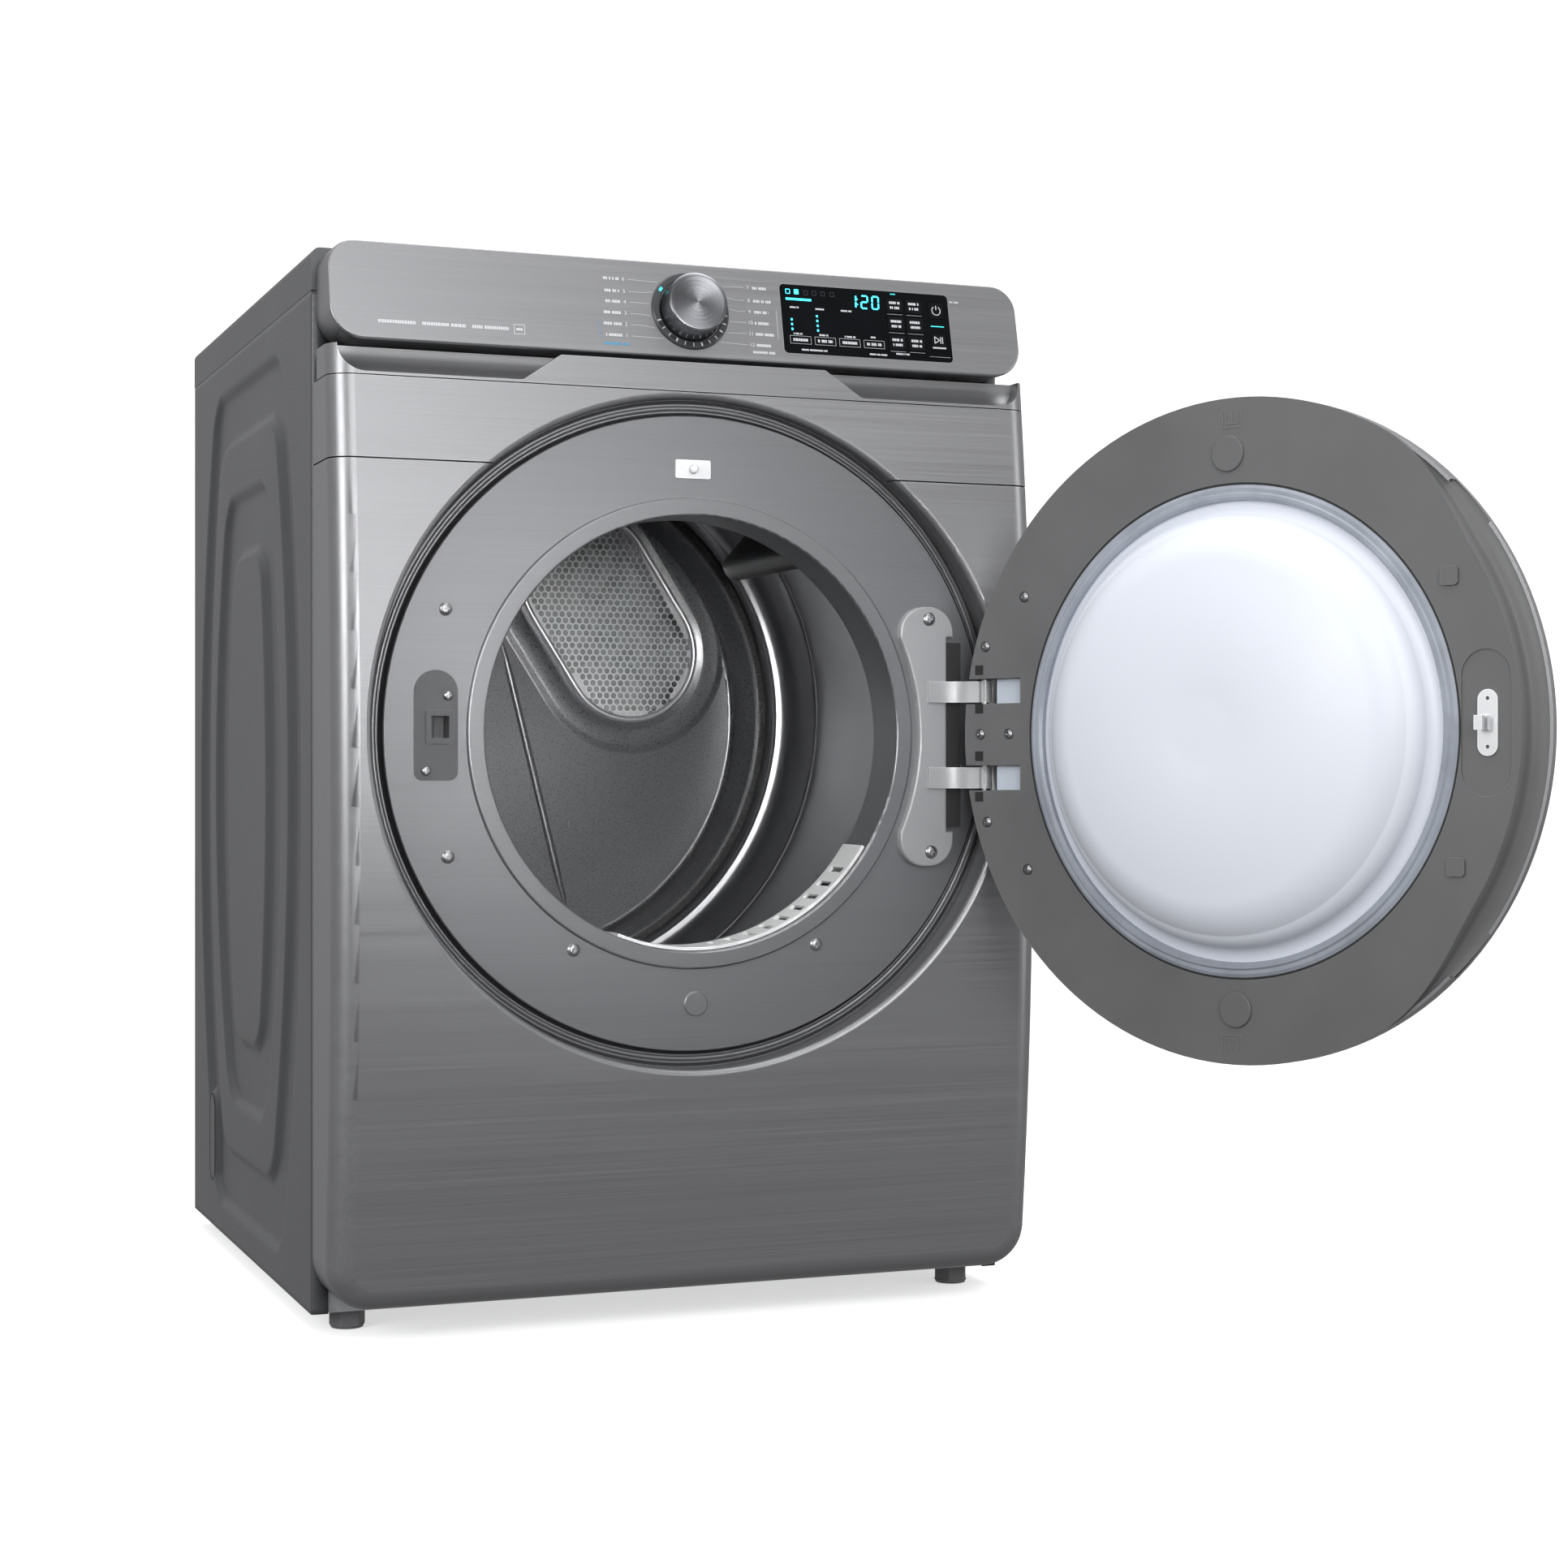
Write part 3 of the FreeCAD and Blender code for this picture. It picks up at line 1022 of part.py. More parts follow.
def make_air_path():
    wall = PLASTIC
    y = (-300, -200)

    def scroll(inset):
        can = rod(98 - inset, (y[0] + inset, y[1] - inset), MOTOR_X, MOTOR_Z)
        box = block((-54 + inset, MOTOR_X), (y[0] + inset, y[1] - inset), (46 + inset, 154 - inset))
        return joined([can, box])
    housing = scroll(0.0).cut(scroll(wall))
    cuts = [rod(58, (-320, -290), MOTOR_X, MOTOR_Z), rod(14, (-220, -190), MOTOR_X, MOTOR_Z),
            rod(DUCT_RADIUS - 0.5, (-220, -190), 0, DUCT_Z)]
    write("blower_housing", housing.cut(cuts))
    tail = CABINET_BACK - 0.5
    r, end = DUCT_RADIUS, CABINET_BACK + DUCT_TAIL
    steps = [(r - 1.6, -199.9), (r - 0.6, -199.9), (r - 0.6, tail), (r, tail),
             (r, end), (r - 1.0, end), (r - 1.0, tail), (r - 1.6, tail)]
    write("exhaust_duct", turned(steps, 0, DUCT_Z))
    outside = plate(rectangle((20, 246), (82, 338)), [20] * 4, (-389, -349))
    inside_outline = rectangle((20 + wall, 246 - wall), (82 + wall, 338 - wall))
    inside = plate(inside_outline, [20 - wall] * 4, (-389 + wall, -349 - wall))
    mouth = block((FILTER_POCKET[0] - 1, FILTER_POCKET[1] + 1), (-386, -352), (330, 345))
    cuts = [rod(58, THROUGH_BULKHEAD, MOTOR_X, MOTOR_Z), mouth]
    write("filter_housing", outside.cut(inside).cut(cuts))


def make_lint_filter():
    """Curved grille in the bottom of the door opening, with its pocket below."""
    y = (-400.0, -352.5)
    outer, inner = OPENING_RADIUS - 0.6, OPENING_RADIUS - 3.4
    ring = tube(outer, inner, y, 0, OPENING_Z)
    start, end = FILTER_ANGLES
    corners = [(0, OPENING_Z)]
    corners += [around((0, OPENING_Z), 260, angle) for angle in (start, (start + end) / 2, end)]
    sector = plate(corners, [0] * 4, (-420, -340))
    top = ring.common(sector)
    slots = []
    for i in range(9):
        slot = block((inner - 4, outer + 4), (-392, -361), (-3.2, 3.2))
        slot.rotate(Vector(0, 0, 0), Y_AXIS, 82 - 5.2 * i)
        slot.translate(Vector(0, 0, OPENING_Z))
        slots.append(slot)
    top = top.cut(slots)
    x0, x1 = FILTER_POCKET
    pocket = block((x0, x1), (-384, -354), (182, 362))
    pocket = pocket.cut(block((x0 + 2, x1 - 2), (-382, -356), (184, 400)))
    windows = [block((x0 + 8 + 38 * i, x0 + 40 + 38 * i), (-390, -350), (192, 300)) for i in range(3)]
    pocket = pocket.cut(windows).cut(rod(outer - 0.1, (-420, -340), 0, OPENING_Z))
    screens = [block((x0 + 1, x1 - 1), (at, at + 0.6), (183, 310)) for at in (-383.5, -355.1)]
    write("lint_filter", joined([top, pocket] + screens))


COIL_X = 143.0


def make_heater():
    """Rear duct that carries hot air up to the grille, with the heating coils inside."""
    wall = 1.2
    y = (DISH_Y + 1.6, CABINET_BACK - 5)

    def duct(inset):
        low = rounded_plate((50 + inset, 236 - inset), (190 + inset, 700), 10, (y[0] + inset, y[1] - inset))
        head = stadium(GRILLE_LOW, GRILLE_HIGH, GRILLE_RADIUS + 4 - inset, (y[0] + inset, y[1] - inset))
        return joined([low, head])
    shell = duct(0.0).cut(duct(wall))
    shell = shell.cut(stadium(GRILLE_LOW, GRILLE_HIGH, GRILLE_RADIUS - 3, (y[0] - 5, y[0] + 5)))
    shell = shell.cut(block((80, 206), (y[0] + 12, y[1] - 12), (150, 200)))
    coils = []
    for i in range(5):
        middle, height = (y[0] + y[1]) / 2, 260 + 40 * i
        ring = Part.makeTorus(26, 2.5, Vector(COIL_X, middle, height), Vector(0, 0, 1))
        spoke = Part.makeCylinder(2.0, 93.2, Vector(51.0, middle, height), Vector(1, 0, 0))
        gap = Part.makeCylinder(24, 10, Vector(COIL_X, middle, height - 5))
        coils.append(joined([ring, spoke.cut(gap)]))
    write("heater_duct", joined([shell] + coils))


make_front_panels()
make_grip_band()
make_fascia()
make_display()
make_knob()
make_side_panels()
make_back_panel()
make_base_pan()
make_feet()
make_top_cover()
make_surround()
make_front_screws()
make_latch_receiver()
make_door_switch()
make_hinge_bracket()
make_inner_frame()
make_door_rim()
make_door_glass()
make_door_fittings()
make_drum()
make_rollers()
make_bulkheads()
make_air_grille()
make_drive()
make_idler()
make_air_path()
make_lint_filter()
make_heater()
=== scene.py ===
import json
import math
import random

import bmesh
import bpy
from mathutils import Matrix, Vector


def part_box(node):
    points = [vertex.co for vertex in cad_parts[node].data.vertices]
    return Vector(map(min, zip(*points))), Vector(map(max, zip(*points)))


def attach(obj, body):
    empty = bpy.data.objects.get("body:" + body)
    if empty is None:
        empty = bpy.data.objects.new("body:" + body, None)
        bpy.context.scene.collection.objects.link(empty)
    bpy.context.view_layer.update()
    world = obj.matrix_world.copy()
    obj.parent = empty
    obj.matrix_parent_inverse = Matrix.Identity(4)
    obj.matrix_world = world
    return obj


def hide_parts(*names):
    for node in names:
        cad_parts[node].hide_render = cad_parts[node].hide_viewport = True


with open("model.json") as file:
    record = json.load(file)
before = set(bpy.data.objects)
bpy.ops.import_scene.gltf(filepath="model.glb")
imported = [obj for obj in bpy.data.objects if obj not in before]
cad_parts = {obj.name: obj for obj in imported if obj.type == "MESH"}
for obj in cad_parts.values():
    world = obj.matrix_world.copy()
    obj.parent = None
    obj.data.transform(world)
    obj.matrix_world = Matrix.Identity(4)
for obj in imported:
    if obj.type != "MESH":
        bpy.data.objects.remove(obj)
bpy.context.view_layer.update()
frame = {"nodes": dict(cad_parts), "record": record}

# Looks for the front-loading clothes dryer. Everything is in metres, in the CAD's frame.
# +X is to the right of a person facing the front, +Y towards the back, +Z up.

random.seed(7)
SCENE = bpy.context.scene
SCENE.view_settings.view_transform = "Standard"
MM = 0.001


# ---------------------------------------------------------------- material helpers
class Shader:
    """A material's node tree, with short calls for the nodes used here."""

    def __init__(self, name, color, metallic=0.0, roughness=0.5):
        self.material = bpy.data.materials.new(name)
        self.material.use_nodes = True
        self.tree = self.material.node_tree
        self.tree.nodes.clear()
        self.output = self.tree.nodes.new("ShaderNodeOutputMaterial")
        self.bsdf = self.tree.nodes.new("ShaderNodeBsdfPrincipled")
        self.link(self.bsdf.outputs[0], self.output.inputs["Surface"])
        self.set("Base Color", (*color, 1.0))
        self.set("Metallic", metallic)
        self.set("Roughness", roughness)
        self.coords = self.tree.nodes.new("ShaderNodeTexCoord").outputs["Object"]

    def link(self, source, target):
        self.tree.links.new(source, target)

    def set(self, name, value):
        self.bsdf.inputs[name].default_value = value

    def mapped(self, scale):
        node = self.tree.nodes.new("ShaderNodeMapping")
        node.vector_type = "POINT"
        node.inputs["Scale"].default_value = scale
        self.link(self.coords, node.inputs["Vector"])
        return node.outputs[0]

    def noise(self, scale, size=1.0, detail=4.0, rough=0.55, vector=None):
        node = self.tree.nodes.new("ShaderNodeTexNoise")
        node.inputs["Scale"].default_value = size
        node.inputs["Detail"].default_value = detail
        node.inputs["Roughness"].default_value = rough
        self.link(vector or self.mapped(scale), node.inputs["Vector"])
        return node.outputs["Fac"]

    def voronoi(self, size, output="Distance"):
        node = self.tree.nodes.new("ShaderNodeTexVoronoi")
        node.inputs["Scale"].default_value = size
        self.link(self.coords, node.inputs["Vector"])
        return node.outputs[output]

    def math(self, kind, a, b=None):
        node = self.tree.nodes.new("ShaderNodeMath")
        node.operation = kind
        for socket, value in zip(node.inputs, (a, b)):
            if isinstance(value, (int, float)):
                socket.default_value = value
            elif value is not None:
                self.link(value, socket)
        return node.outputs[0]

    def spread(self, value, low, high, source=(0.3, 0.7)):
        node = self.tree.nodes.new("ShaderNodeMapRange")
        node.inputs["From Min"].default_value = source[0]
        node.inputs["From Max"].default_value = source[1]
        node.inputs["To Min"].default_value = low
        node.inputs["To Max"].default_value = high
        self.link(value, node.inputs["Value"])
        return node.outputs[0]

    def colors(self, value, stops):
        node = self.tree.nodes.new("ShaderNodeValToRGB")
        ramp = node.color_ramp
        while len(ramp.elements) < len(stops):
            ramp.elements.new(0.5)
        for element, (place, color) in zip(ramp.elements, stops):
            element.position = place
            element.color = (*color, 1.0)
        self.link(value, node.inputs["Fac"])
        self.link(node.outputs[0], self.bsdf.inputs["Base Color"])
        return node.outputs[0]

    def rough(self, value, low, high, source=(0.3, 0.7)):
        self.link(self.spread(value, low, high, source), self.bsdf.inputs["Roughness"])

    def bump(self, value, distance, strength):
        node = self.tree.nodes.new("ShaderNodeBump")
        node.inputs["Strength"].default_value = strength
        node.inputs["Distance"].default_value = distance
        self.link(value, node.inputs["Height"])
        self.link(node.outputs[0], self.bsdf.inputs["Normal"])

    def worn_edges(self, base, edge, size=0.0015):
        """Painted edge highlight: lightens the base colour where the surface turns sharply."""
        node = self.tree.nodes.new("ShaderNodeBevel")
        node.samples = 4
        node.inputs["Radius"].default_value = size
        plain = self.tree.nodes.new("ShaderNodeNewGeometry")
        dot = self.tree.nodes.new("ShaderNodeVectorMath")
        dot.operation = "DOT_PRODUCT"
        self.link(node.outputs[0], dot.inputs[0])
        self.link(plain.outputs["Normal"], dot.inputs[1])
        highlight_amount = self.spread(dot.outputs["Value"], 1.0, 0.0, (0.8, 0.995))
        mix = self.tree.nodes.new("ShaderNodeMix")
        mix.data_type = "RGBA"
        self.link(highlight_amount, mix.inputs["Factor"])
        self.link(base, mix.inputs["A"])
        mix.inputs["B"].default_value = (*edge, 1.0)
        self.link(mix.outputs["Result"], self.bsdf.inputs["Base Color"])


def scaled(color, factor):
    return tuple(min(channel * factor, 1.0) for channel in color)


def stroke_scale(along, across_strokes, along_strokes):
    """Noise scale that is stretched along one axis."""
    scale = [across_strokes] * 3
    scale[along] = along_strokes
    return scale


def brushed(name, color, along, roughness=0.34, metallic=0.85, contrast=0.12, depth=0.00006,
            vary=0.08):
    """Metal with fine parallel brush strokes. along is the strokes' axis, 0, 1 or 2."""
    shader = Shader(name, color, metallic, roughness)
    fine = shader.noise(stroke_scale(along, 900.0, 3.0), detail=3.0, rough=0.6)
    broad = shader.noise(stroke_scale(along, 60.0, 1.2), detail=2.0)
    both = shader.math("ADD", shader.math("MULTIPLY", fine, 0.7), shader.math("MULTIPLY", broad, 0.3))
    dark, light = scaled(color, 1 - contrast), scaled(color, 1 + contrast)
    base = shader.colors(both, [(0.3, dark), (0.7, light)])
    # Painted highlight on the edges.
    shader.worn_edges(base, scaled(color, 1.5))
    shader.rough(both, roughness - vary, roughness + vary)
    if depth:
        shader.bump(fine, depth, 0.6)
    return shader


def enamel(name, color, roughness=0.42, metallic=0.0, peel=140.0, coat=0.15):
    """Sprayed paint: orange peel, faint mottle and a painted highlight on the edges."""
    shader = Shader(name, color, metallic, roughness)
    mottle = shader.noise((6, 6, 6), detail=3.0)
    base = shader.colors(mottle, [(0.3, scaled(color, 0.93)), (0.7, scaled(color, 1.07))])
    # Painted highlight on the edges.
    shader.worn_edges(base, scaled(color, 1.7))
    grain = shader.noise((peel, peel, peel), size=4.0, detail=2.0)
    shader.rough(grain, roughness - 0.06, roughness + 0.08)
    shader.bump(grain, 0.00012, 0.45)
    shader.set("Coat Weight", coat)
    shader.set("Coat Roughness", 0.25)
    return shader


def moulded(name, color, roughness=0.5, grain=1400.0, depth=0.00008):
    """Moulded plastic with a fine spark-eroded texture."""
    shader = Shader(name, color, 0.0, roughness)
    cells = shader.voronoi(grain)
    cloud = shader.noise((9, 9, 9), detail=3.0)
    base = shader.colors(cloud, [(0.3, scaled(color, 0.92)), (0.7, scaled(color, 1.08))])
    # Painted highlight on the edges.
    shader.worn_edges(base, scaled(color, 1.8), 0.001)
    shader.rough(cloud, roughness - 0.05, roughness + 0.07)
    shader.bump(cells, depth, 0.5)
    return shader


def glossy(name, color, roughness=0.12, shine=0.4):
    """Polished plastic or paint with faint smears."""
    shader = Shader(name, color, 0.0, roughness)
    smear = shader.noise((14, 14, 14), detail=5.0)
    shader.rough(smear, roughness - 0.05, roughness + 0.08)
    shader.colors(smear, [(0.3, scaled(color, 0.8)), (0.7, scaled(color, 1.25))])
    shader.bump(shader.noise((30, 30, 30), detail=2.0), 0.00005, 0.2)
    shader.set("Specular IOR Level", shine)
    return shader


def galvanised(name, color):
    """Zinc-coated sheet with its patchwork of crystals."""
    shader = Shader(name, color, 0.75, 0.42)
    spangle = shader.voronoi(90.0, output="Color")
    value = shader.math("MULTIPLY", spangle, 1.0)
    base = shader.colors(value, [(0.1, scaled(color, 0.78)), (0.9, scaled(color, 1.15))])
    # Painted highlight on the edges.
    shader.worn_edges(base, scaled(color, 1.4))
    shader.rough(value, 0.3, 0.52, (0.0, 1.0))
    shader.bump(shader.noise((200, 200, 200), detail=3.0), 0.00006, 0.4)
    return shader


def rubber(name, color, roughness=0.7):
    """Matt rubber with a little dust."""
    shader = Shader(name, color, 0.0, roughness)
    dust = shader.noise((60, 60, 60), detail=6.0)
    shader.colors(dust, [(0.35, color), (0.75, scaled(color, 2.2))])
    shader.rough(dust, roughness - 0.12, roughness + 0.12)
    shader.bump(shader.noise((900, 900, 900), detail=2.0), 0.00008, 0.5)
    return shader


def felt(name):
    """Dark felt with pale flecks."""
    shader = Shader(name, (0.4, 0.39, 0.37), 0.0, 0.95)
    specks = shader.noise((1500, 1500, 1500), detail=3.0, rough=0.8)
    black, dark, fleck = (0.015, 0.015, 0.016), (0.05, 0.05, 0.05), (0.3, 0.3, 0.3)
    shader.colors(specks, [(0.42, black), (0.55, dark), (0.68, fleck)])
    shader.bump(specks, 0.0006, 0.8)
    shader.set("Sheen Weight", 0.4)
    return shader


def glass(name, color, roughness, alpha, coat=0.5, smears=0.15):
    """Thin clear moulding: a coated see-through surface with faint smears."""
    shader = Shader(name, color, 0.0, roughness)
    smear = shader.noise((10, 10, 10), detail=5.0)
    shader.rough(smear, max(roughness - 0.05, 0.02), roughness + 0.06)
    shader.bump(smear, 0.0002, smears)
    shader.set("Alpha", alpha)
    shader.set("IOR", 1.5)
    shader.set("Coat Weight", coat)
    shader.set("Coat Roughness", 0.05)
    return shader


def glowing(name, color, strength):
    """Lit print, or pale print with a faint painted glow; both give off a little light."""
    shader = Shader(name, color, 0.0, 0.4)
    shader.set("Emission Color", (*color, 1.0))
    shader.set("Emission Strength", strength)
    pixels = shader.noise((2500, 2500, 2500), detail=1.0)
    shader.colors(pixels, [(0.3, scaled(color, 0.7)), (0.7, color)])
    return shader


def spun(name, color, centre, up, across=(1, 0, 0), roughness=0.26):
    """Aluminium brushed in circles about a centre, with a painted highlight in its base colour that
    spreads out from the centre in two opposite wedges.
    """
    shader = Shader(name, color, 1.0, roughness)
    shift = shader.tree.nodes.new("ShaderNodeVectorMath")
    shift.operation = "SUBTRACT"
    shader.link(shader.coords, shift.inputs[0])
    shift.inputs[1].default_value = centre
    parts = []
    for direction in (across, up):
        dot = shader.tree.nodes.new("ShaderNodeVectorMath")
        dot.operation = "DOT_PRODUCT"
        shader.link(shift.outputs[0], dot.inputs[0])
        dot.inputs[1].default_value = direction
        parts.append(dot.outputs["Value"])
    a, b = parts
    angle = shader.math("ARCTAN2", b, a)
    square = shader.math("ADD", shader.math("MULTIPLY", a, a), shader.math("MULTIPLY", b, b))
    radius = shader.math("SQRT", square)
    join = shader.tree.nodes.new("ShaderNodeCombineXYZ")
    shader.link(shader.math("MULTIPLY", radius, 2600.0), join.inputs[0])
    shader.link(shader.math("MULTIPLY", angle, 0.35), join.inputs[1])
    rings = shader.noise(None, detail=3.0, rough=0.6, vector=join.outputs[0])
    # Painted highlight: the base colour is lightened in two opposite wedges about the centre, on top
    # of the brushed rings.
    turned = shader.math("ADD", shader.math("MULTIPLY", angle, 2.0), -0.9)
    painted_fan = shader.math("MULTIPLY", shader.math("SINE", turned), 0.5)
    broad = shader.math("ADD", shader.math("MULTIPLY", painted_fan, 0.5), 0.35)
    rings_and_painted_fan = shader.math("ADD", shader.math("MULTIPLY", rings, 0.35), broad)
    stops = [(0.15, scaled(color, 0.3)), (0.5, scaled(color, 0.8)), (0.85, scaled(color, 2.1))]
    base = shader.colors(rings_and_painted_fan, stops)
    # Painted highlight on the edges.
    shader.worn_edges(base, scaled(color, 1.8), 0.0008)
    shader.rough(rings, roughness - 0.07, roughness + 0.1)
    shader.bump(rings, 0.00005, 0.5)
    shader.set("Anisotropic", 0.5)
    return shader


# ---------------------------------------------------------------- materials by slot
# The fascia leans back: its up direction, the direction that it faces, and the knob's centre on it.
TILT_UP = (0.0, 0.219768, 0.975553)
FACE_OUT = (0.0, -0.975553, 0.219768)
KNOB_CENTRE = (0.0, -0.38586, 0.938)

FRONT_GREY = (0.27, 0.272, 0.28)
MATERIALS = {
    "front_metal": brushed("front_metal", FRONT_GREY, 0, roughness=0.36, metallic=0.8,
                           contrast=0.07, depth=0.00002),
    "fascia_metal": brushed("fascia_metal", (0.25, 0.252, 0.26), 0, roughness=0.34, metallic=0.8,
                            contrast=0.07, depth=0.00002),
    "side_paint": enamel("side_paint", (0.072, 0.074, 0.079), roughness=0.4, metallic=0.3),
    "display": glossy("display", (0.004, 0.0045, 0.0055), 0.12, 0.05),
    "key_caps": glossy("key_caps", (0.006, 0.0065, 0.0075), 0.16, 0.07),
    "knob_metal": spun("knob_metal", (0.22, 0.223, 0.236), KNOB_CENTRE, TILT_UP),
    "bezel": glossy("bezel", (0.05, 0.052, 0.056), 0.22),
    "galvanised": galvanised("galvanised", (0.42, 0.43, 0.44)),
    "surround": brushed("surround", (0.2, 0.203, 0.211), 0, roughness=0.36, metallic=0.75,
                        contrast=0.05, depth=0.0, vary=0.02),
    "door_plastic": moulded("door_plastic", (0.115, 0.116, 0.118), 0.46),
    "door_rim": brushed("door_rim", (0.3, 0.302, 0.31), 2, roughness=0.32, metallic=0.9,
                        contrast=0.04, depth=0.00001, vary=0.03),
    "window": glass("window", (0.03, 0.034, 0.042), 0.08, 0.82),
    "bowl_glass": glass("bowl_glass", (0.76, 0.795, 0.87), 0.42, 0.96, coat=0.04, smears=0.03),
    "clamp_metal": glossy("clamp_metal", (0.3, 0.325, 0.37), 0.2),
    "rubber": rubber("rubber", (0.012, 0.012, 0.013)),
    "hinge_metal": enamel("hinge_metal", (0.3, 0.305, 0.31), roughness=0.36, metallic=0.25),
    "screw_metal": brushed("screw_metal", (0.32, 0.32, 0.33), 2, roughness=0.3, metallic=1.0),
    "drum_metal": brushed("drum_metal", (0.36, 0.363, 0.375), 1, roughness=0.3, metallic=0.92,
                          contrast=0.03, depth=0.0, vary=0.02),
    "baffle": moulded("baffle", (0.2, 0.202, 0.206), 0.4),
    "bulkhead": enamel("bulkhead", (0.13, 0.132, 0.137), roughness=0.3, metallic=0.5, coat=0.3),
    "felt": felt("felt"),
    "grille": brushed("grille", (0.72, 0.725, 0.74), 0, roughness=0.34, metallic=0.85,
                      contrast=0.03, depth=0.0, vary=0.03),
    "internal_plastic": moulded("internal_plastic", (0.03, 0.03, 0.032), 0.45),
    "motor": enamel("motor", (0.03, 0.03, 0.032), roughness=0.5),
    "filter": moulded("filter", (0.62, 0.63, 0.63), 0.42),
    "roller": rubber("roller", (0.05, 0.05, 0.05)),
    "foot": moulded("foot", (0.13, 0.131, 0.136), 0.5),
}
LATCH_PLASTIC = moulded("latch_plastic", (0.055, 0.056, 0.06), 0.4)
WHITE_PLASTIC = moulded("white_plastic", (0.62, 0.63, 0.64), 0.38)
# Pale print with a faint painted glow, though it is no lamp.
PALE_PRINT_GLOW = glowing("pale_print_painted_glow", (0.62, 0.64, 0.67), 0.12)
PRINT_MARK = enamel("print_mark", (0.55, 0.56, 0.58), 0.4)
CYAN_GLOW = glowing("cyan_glow", (0.05, 0.62, 0.85), 2.2)
TEAL_GLOW = glowing("teal_glow", (0.03, 0.5, 0.5), 1.6)
BLUE_MARK = enamel("blue_mark", (0.05, 0.25, 0.42), 0.4)
DIM_MARK = enamel("dim_mark", (0.02, 0.03, 0.035), 0.4)
DARK_GAP = moulded("dark_gap", (0.008, 0.008, 0.009), 0.6)
INSERT = moulded("insert", (0.5, 0.55, 0.62), 0.35)

SLOT_OF = {entry["node"]: entry["material_slot"] for entry in frame["record"]["subparts"]}
NODE_MATERIALS = {
    "latch_receiver": LATCH_PLASTIC,
    "door_switch_housing": WHITE_PLASTIC,
    "door_switch_plunger": WHITE_PLASTIC,
    "door_strike": MATERIALS["grille"],
    "door_bumpers": MATERIALS["door_plastic"],
}


def dress(obj, shader):
    obj.data.materials.clear()
    obj.data.materials.append(shader.material)


for node, obj in frame["nodes"].items():
    dress(obj, NODE_MATERIALS.get(node) or MATERIALS[SLOT_OF[node]])


# ---------------------------------------------------------------- mesh helpers
def finished(name, verts, faces, shader, body, smooth=False):
    """Makes a piece of a mesh in the CAD's frame, with its material and body."""
    mesh = bpy.data.meshes.new(name)
    mesh.from_pydata([tuple(v) for v in verts], [], faces)
    mesh.update()
    if smooth:
        for polygon in mesh.polygons:
            polygon.use_smooth = True
    obj = bpy.data.objects.new(name, mesh)
    SCENE.collection.objects.link(obj)
    dress(obj, shader)
    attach(obj, body)
    return obj


def grid_faces(columns, rows, closed=False):
    """Quads between neighbouring columns of rows vertices each. closed joins the rows' ends."""
    faces = []
    for i in range(columns - 1):
        here, there = i * rows, (i + 1) * rows
        for j in range(rows if closed else rows - 1):
            after = (j + 1) % rows
            faces.append([here + j, here + after, there + after, there + j])
    return faces


class Sheet:
    """Collects flat marks of small thickness on a plane, then makes one mesh of them."""

    def __init__(self, place, thickness):
        self.place = place
        self.thickness = thickness
        self.verts = []
        self.faces = []

    def prism(self, outline):
        """outline is a counter-clockwise loop of (a, b) on the plane, in millimetres."""
        first, count = len(self.verts), len(outline)
        for height in (0.0, self.thickness):
            self.verts += [self.place(a * MM, b * MM, height) for a, b in outline]
        self.faces.append([first + count + i for i in range(count)])
        self.faces.append([first + i for i in reversed(range(count))])
        for i in range(count):
            j = (i + 1) % count
            self.faces.append([first + i, first + j, first + count + j, first + count + i])

    def bar(self, start, end, width):
        ax, ay = start
        bx, by = end
        length = math.hypot(bx - ax, by - ay) or 1.0
        nx, ny = -(by - ay) / length * width / 2, (bx - ax) / length * width / 2
        self.prism([(ax - nx, ay - ny), (bx - nx, by - ny), (bx + nx, by + ny), (ax + nx, ay + ny)])

    def box(self, low, high):
        self.prism([low, (high[0], low[1]), high, (low[0], high[1])])

    def arc(self, centre, radius, width, start, end, count=24):
        points = [math.radians(start + (end - start) * i / count) for i in range(count + 1)]
        for first, second in zip(points, points[1:]):
            inner, outer = radius - width / 2, radius + width / 2
            loop = [(inner, first), (outer, first), (outer, second), (inner, second)]
            self.prism([(centre[0] + r * math.cos(t), centre[1] + r * math.sin(t)) for r, t in loop])

    def frame(self, low, high, width):
        corners = [low, (high[0], low[1]), high, (low[0], high[1])]
        for start, end in zip(corners, corners[1:] + corners[:1]):
            self.bar(start, end, width)

    def done(self, name, shader, body):
        return finished(name, self.verts, self.faces, shader, body)


# ---------------------------------------------------------------- control fascia
def fascia_place(a, b, height):
    """Point on the fascia, a to the right of and b above the knob's centre."""
    on_face = Vector(KNOB_CENTRE) + a * Vector((1, 0, 0)) + b * Vector(TILT_UP)
    return on_face + (height + MARK_LIFT) * Vector(FACE_OUT)


def raised(lift):
    """A place function for a surface that stands lift metres above the fascia."""
    return lambda a, b, height: fascia_place(a, b, height + lift)


# Metres: the gap under a mark, its thickness, and how far each surface stands above the fascia.
MARK_LIFT = 0.00003
MARK_THICK = 0.00006
WINDOW_LIFT = 0.0002
KEY_LIFT = 0.0005
BEZEL_LIFT = 0.003
# Millimetres from the knob's centre.
WINDOW_LOW = (92.0, -34.85)
WINDOW_SIZE = (174.0, 68.68)
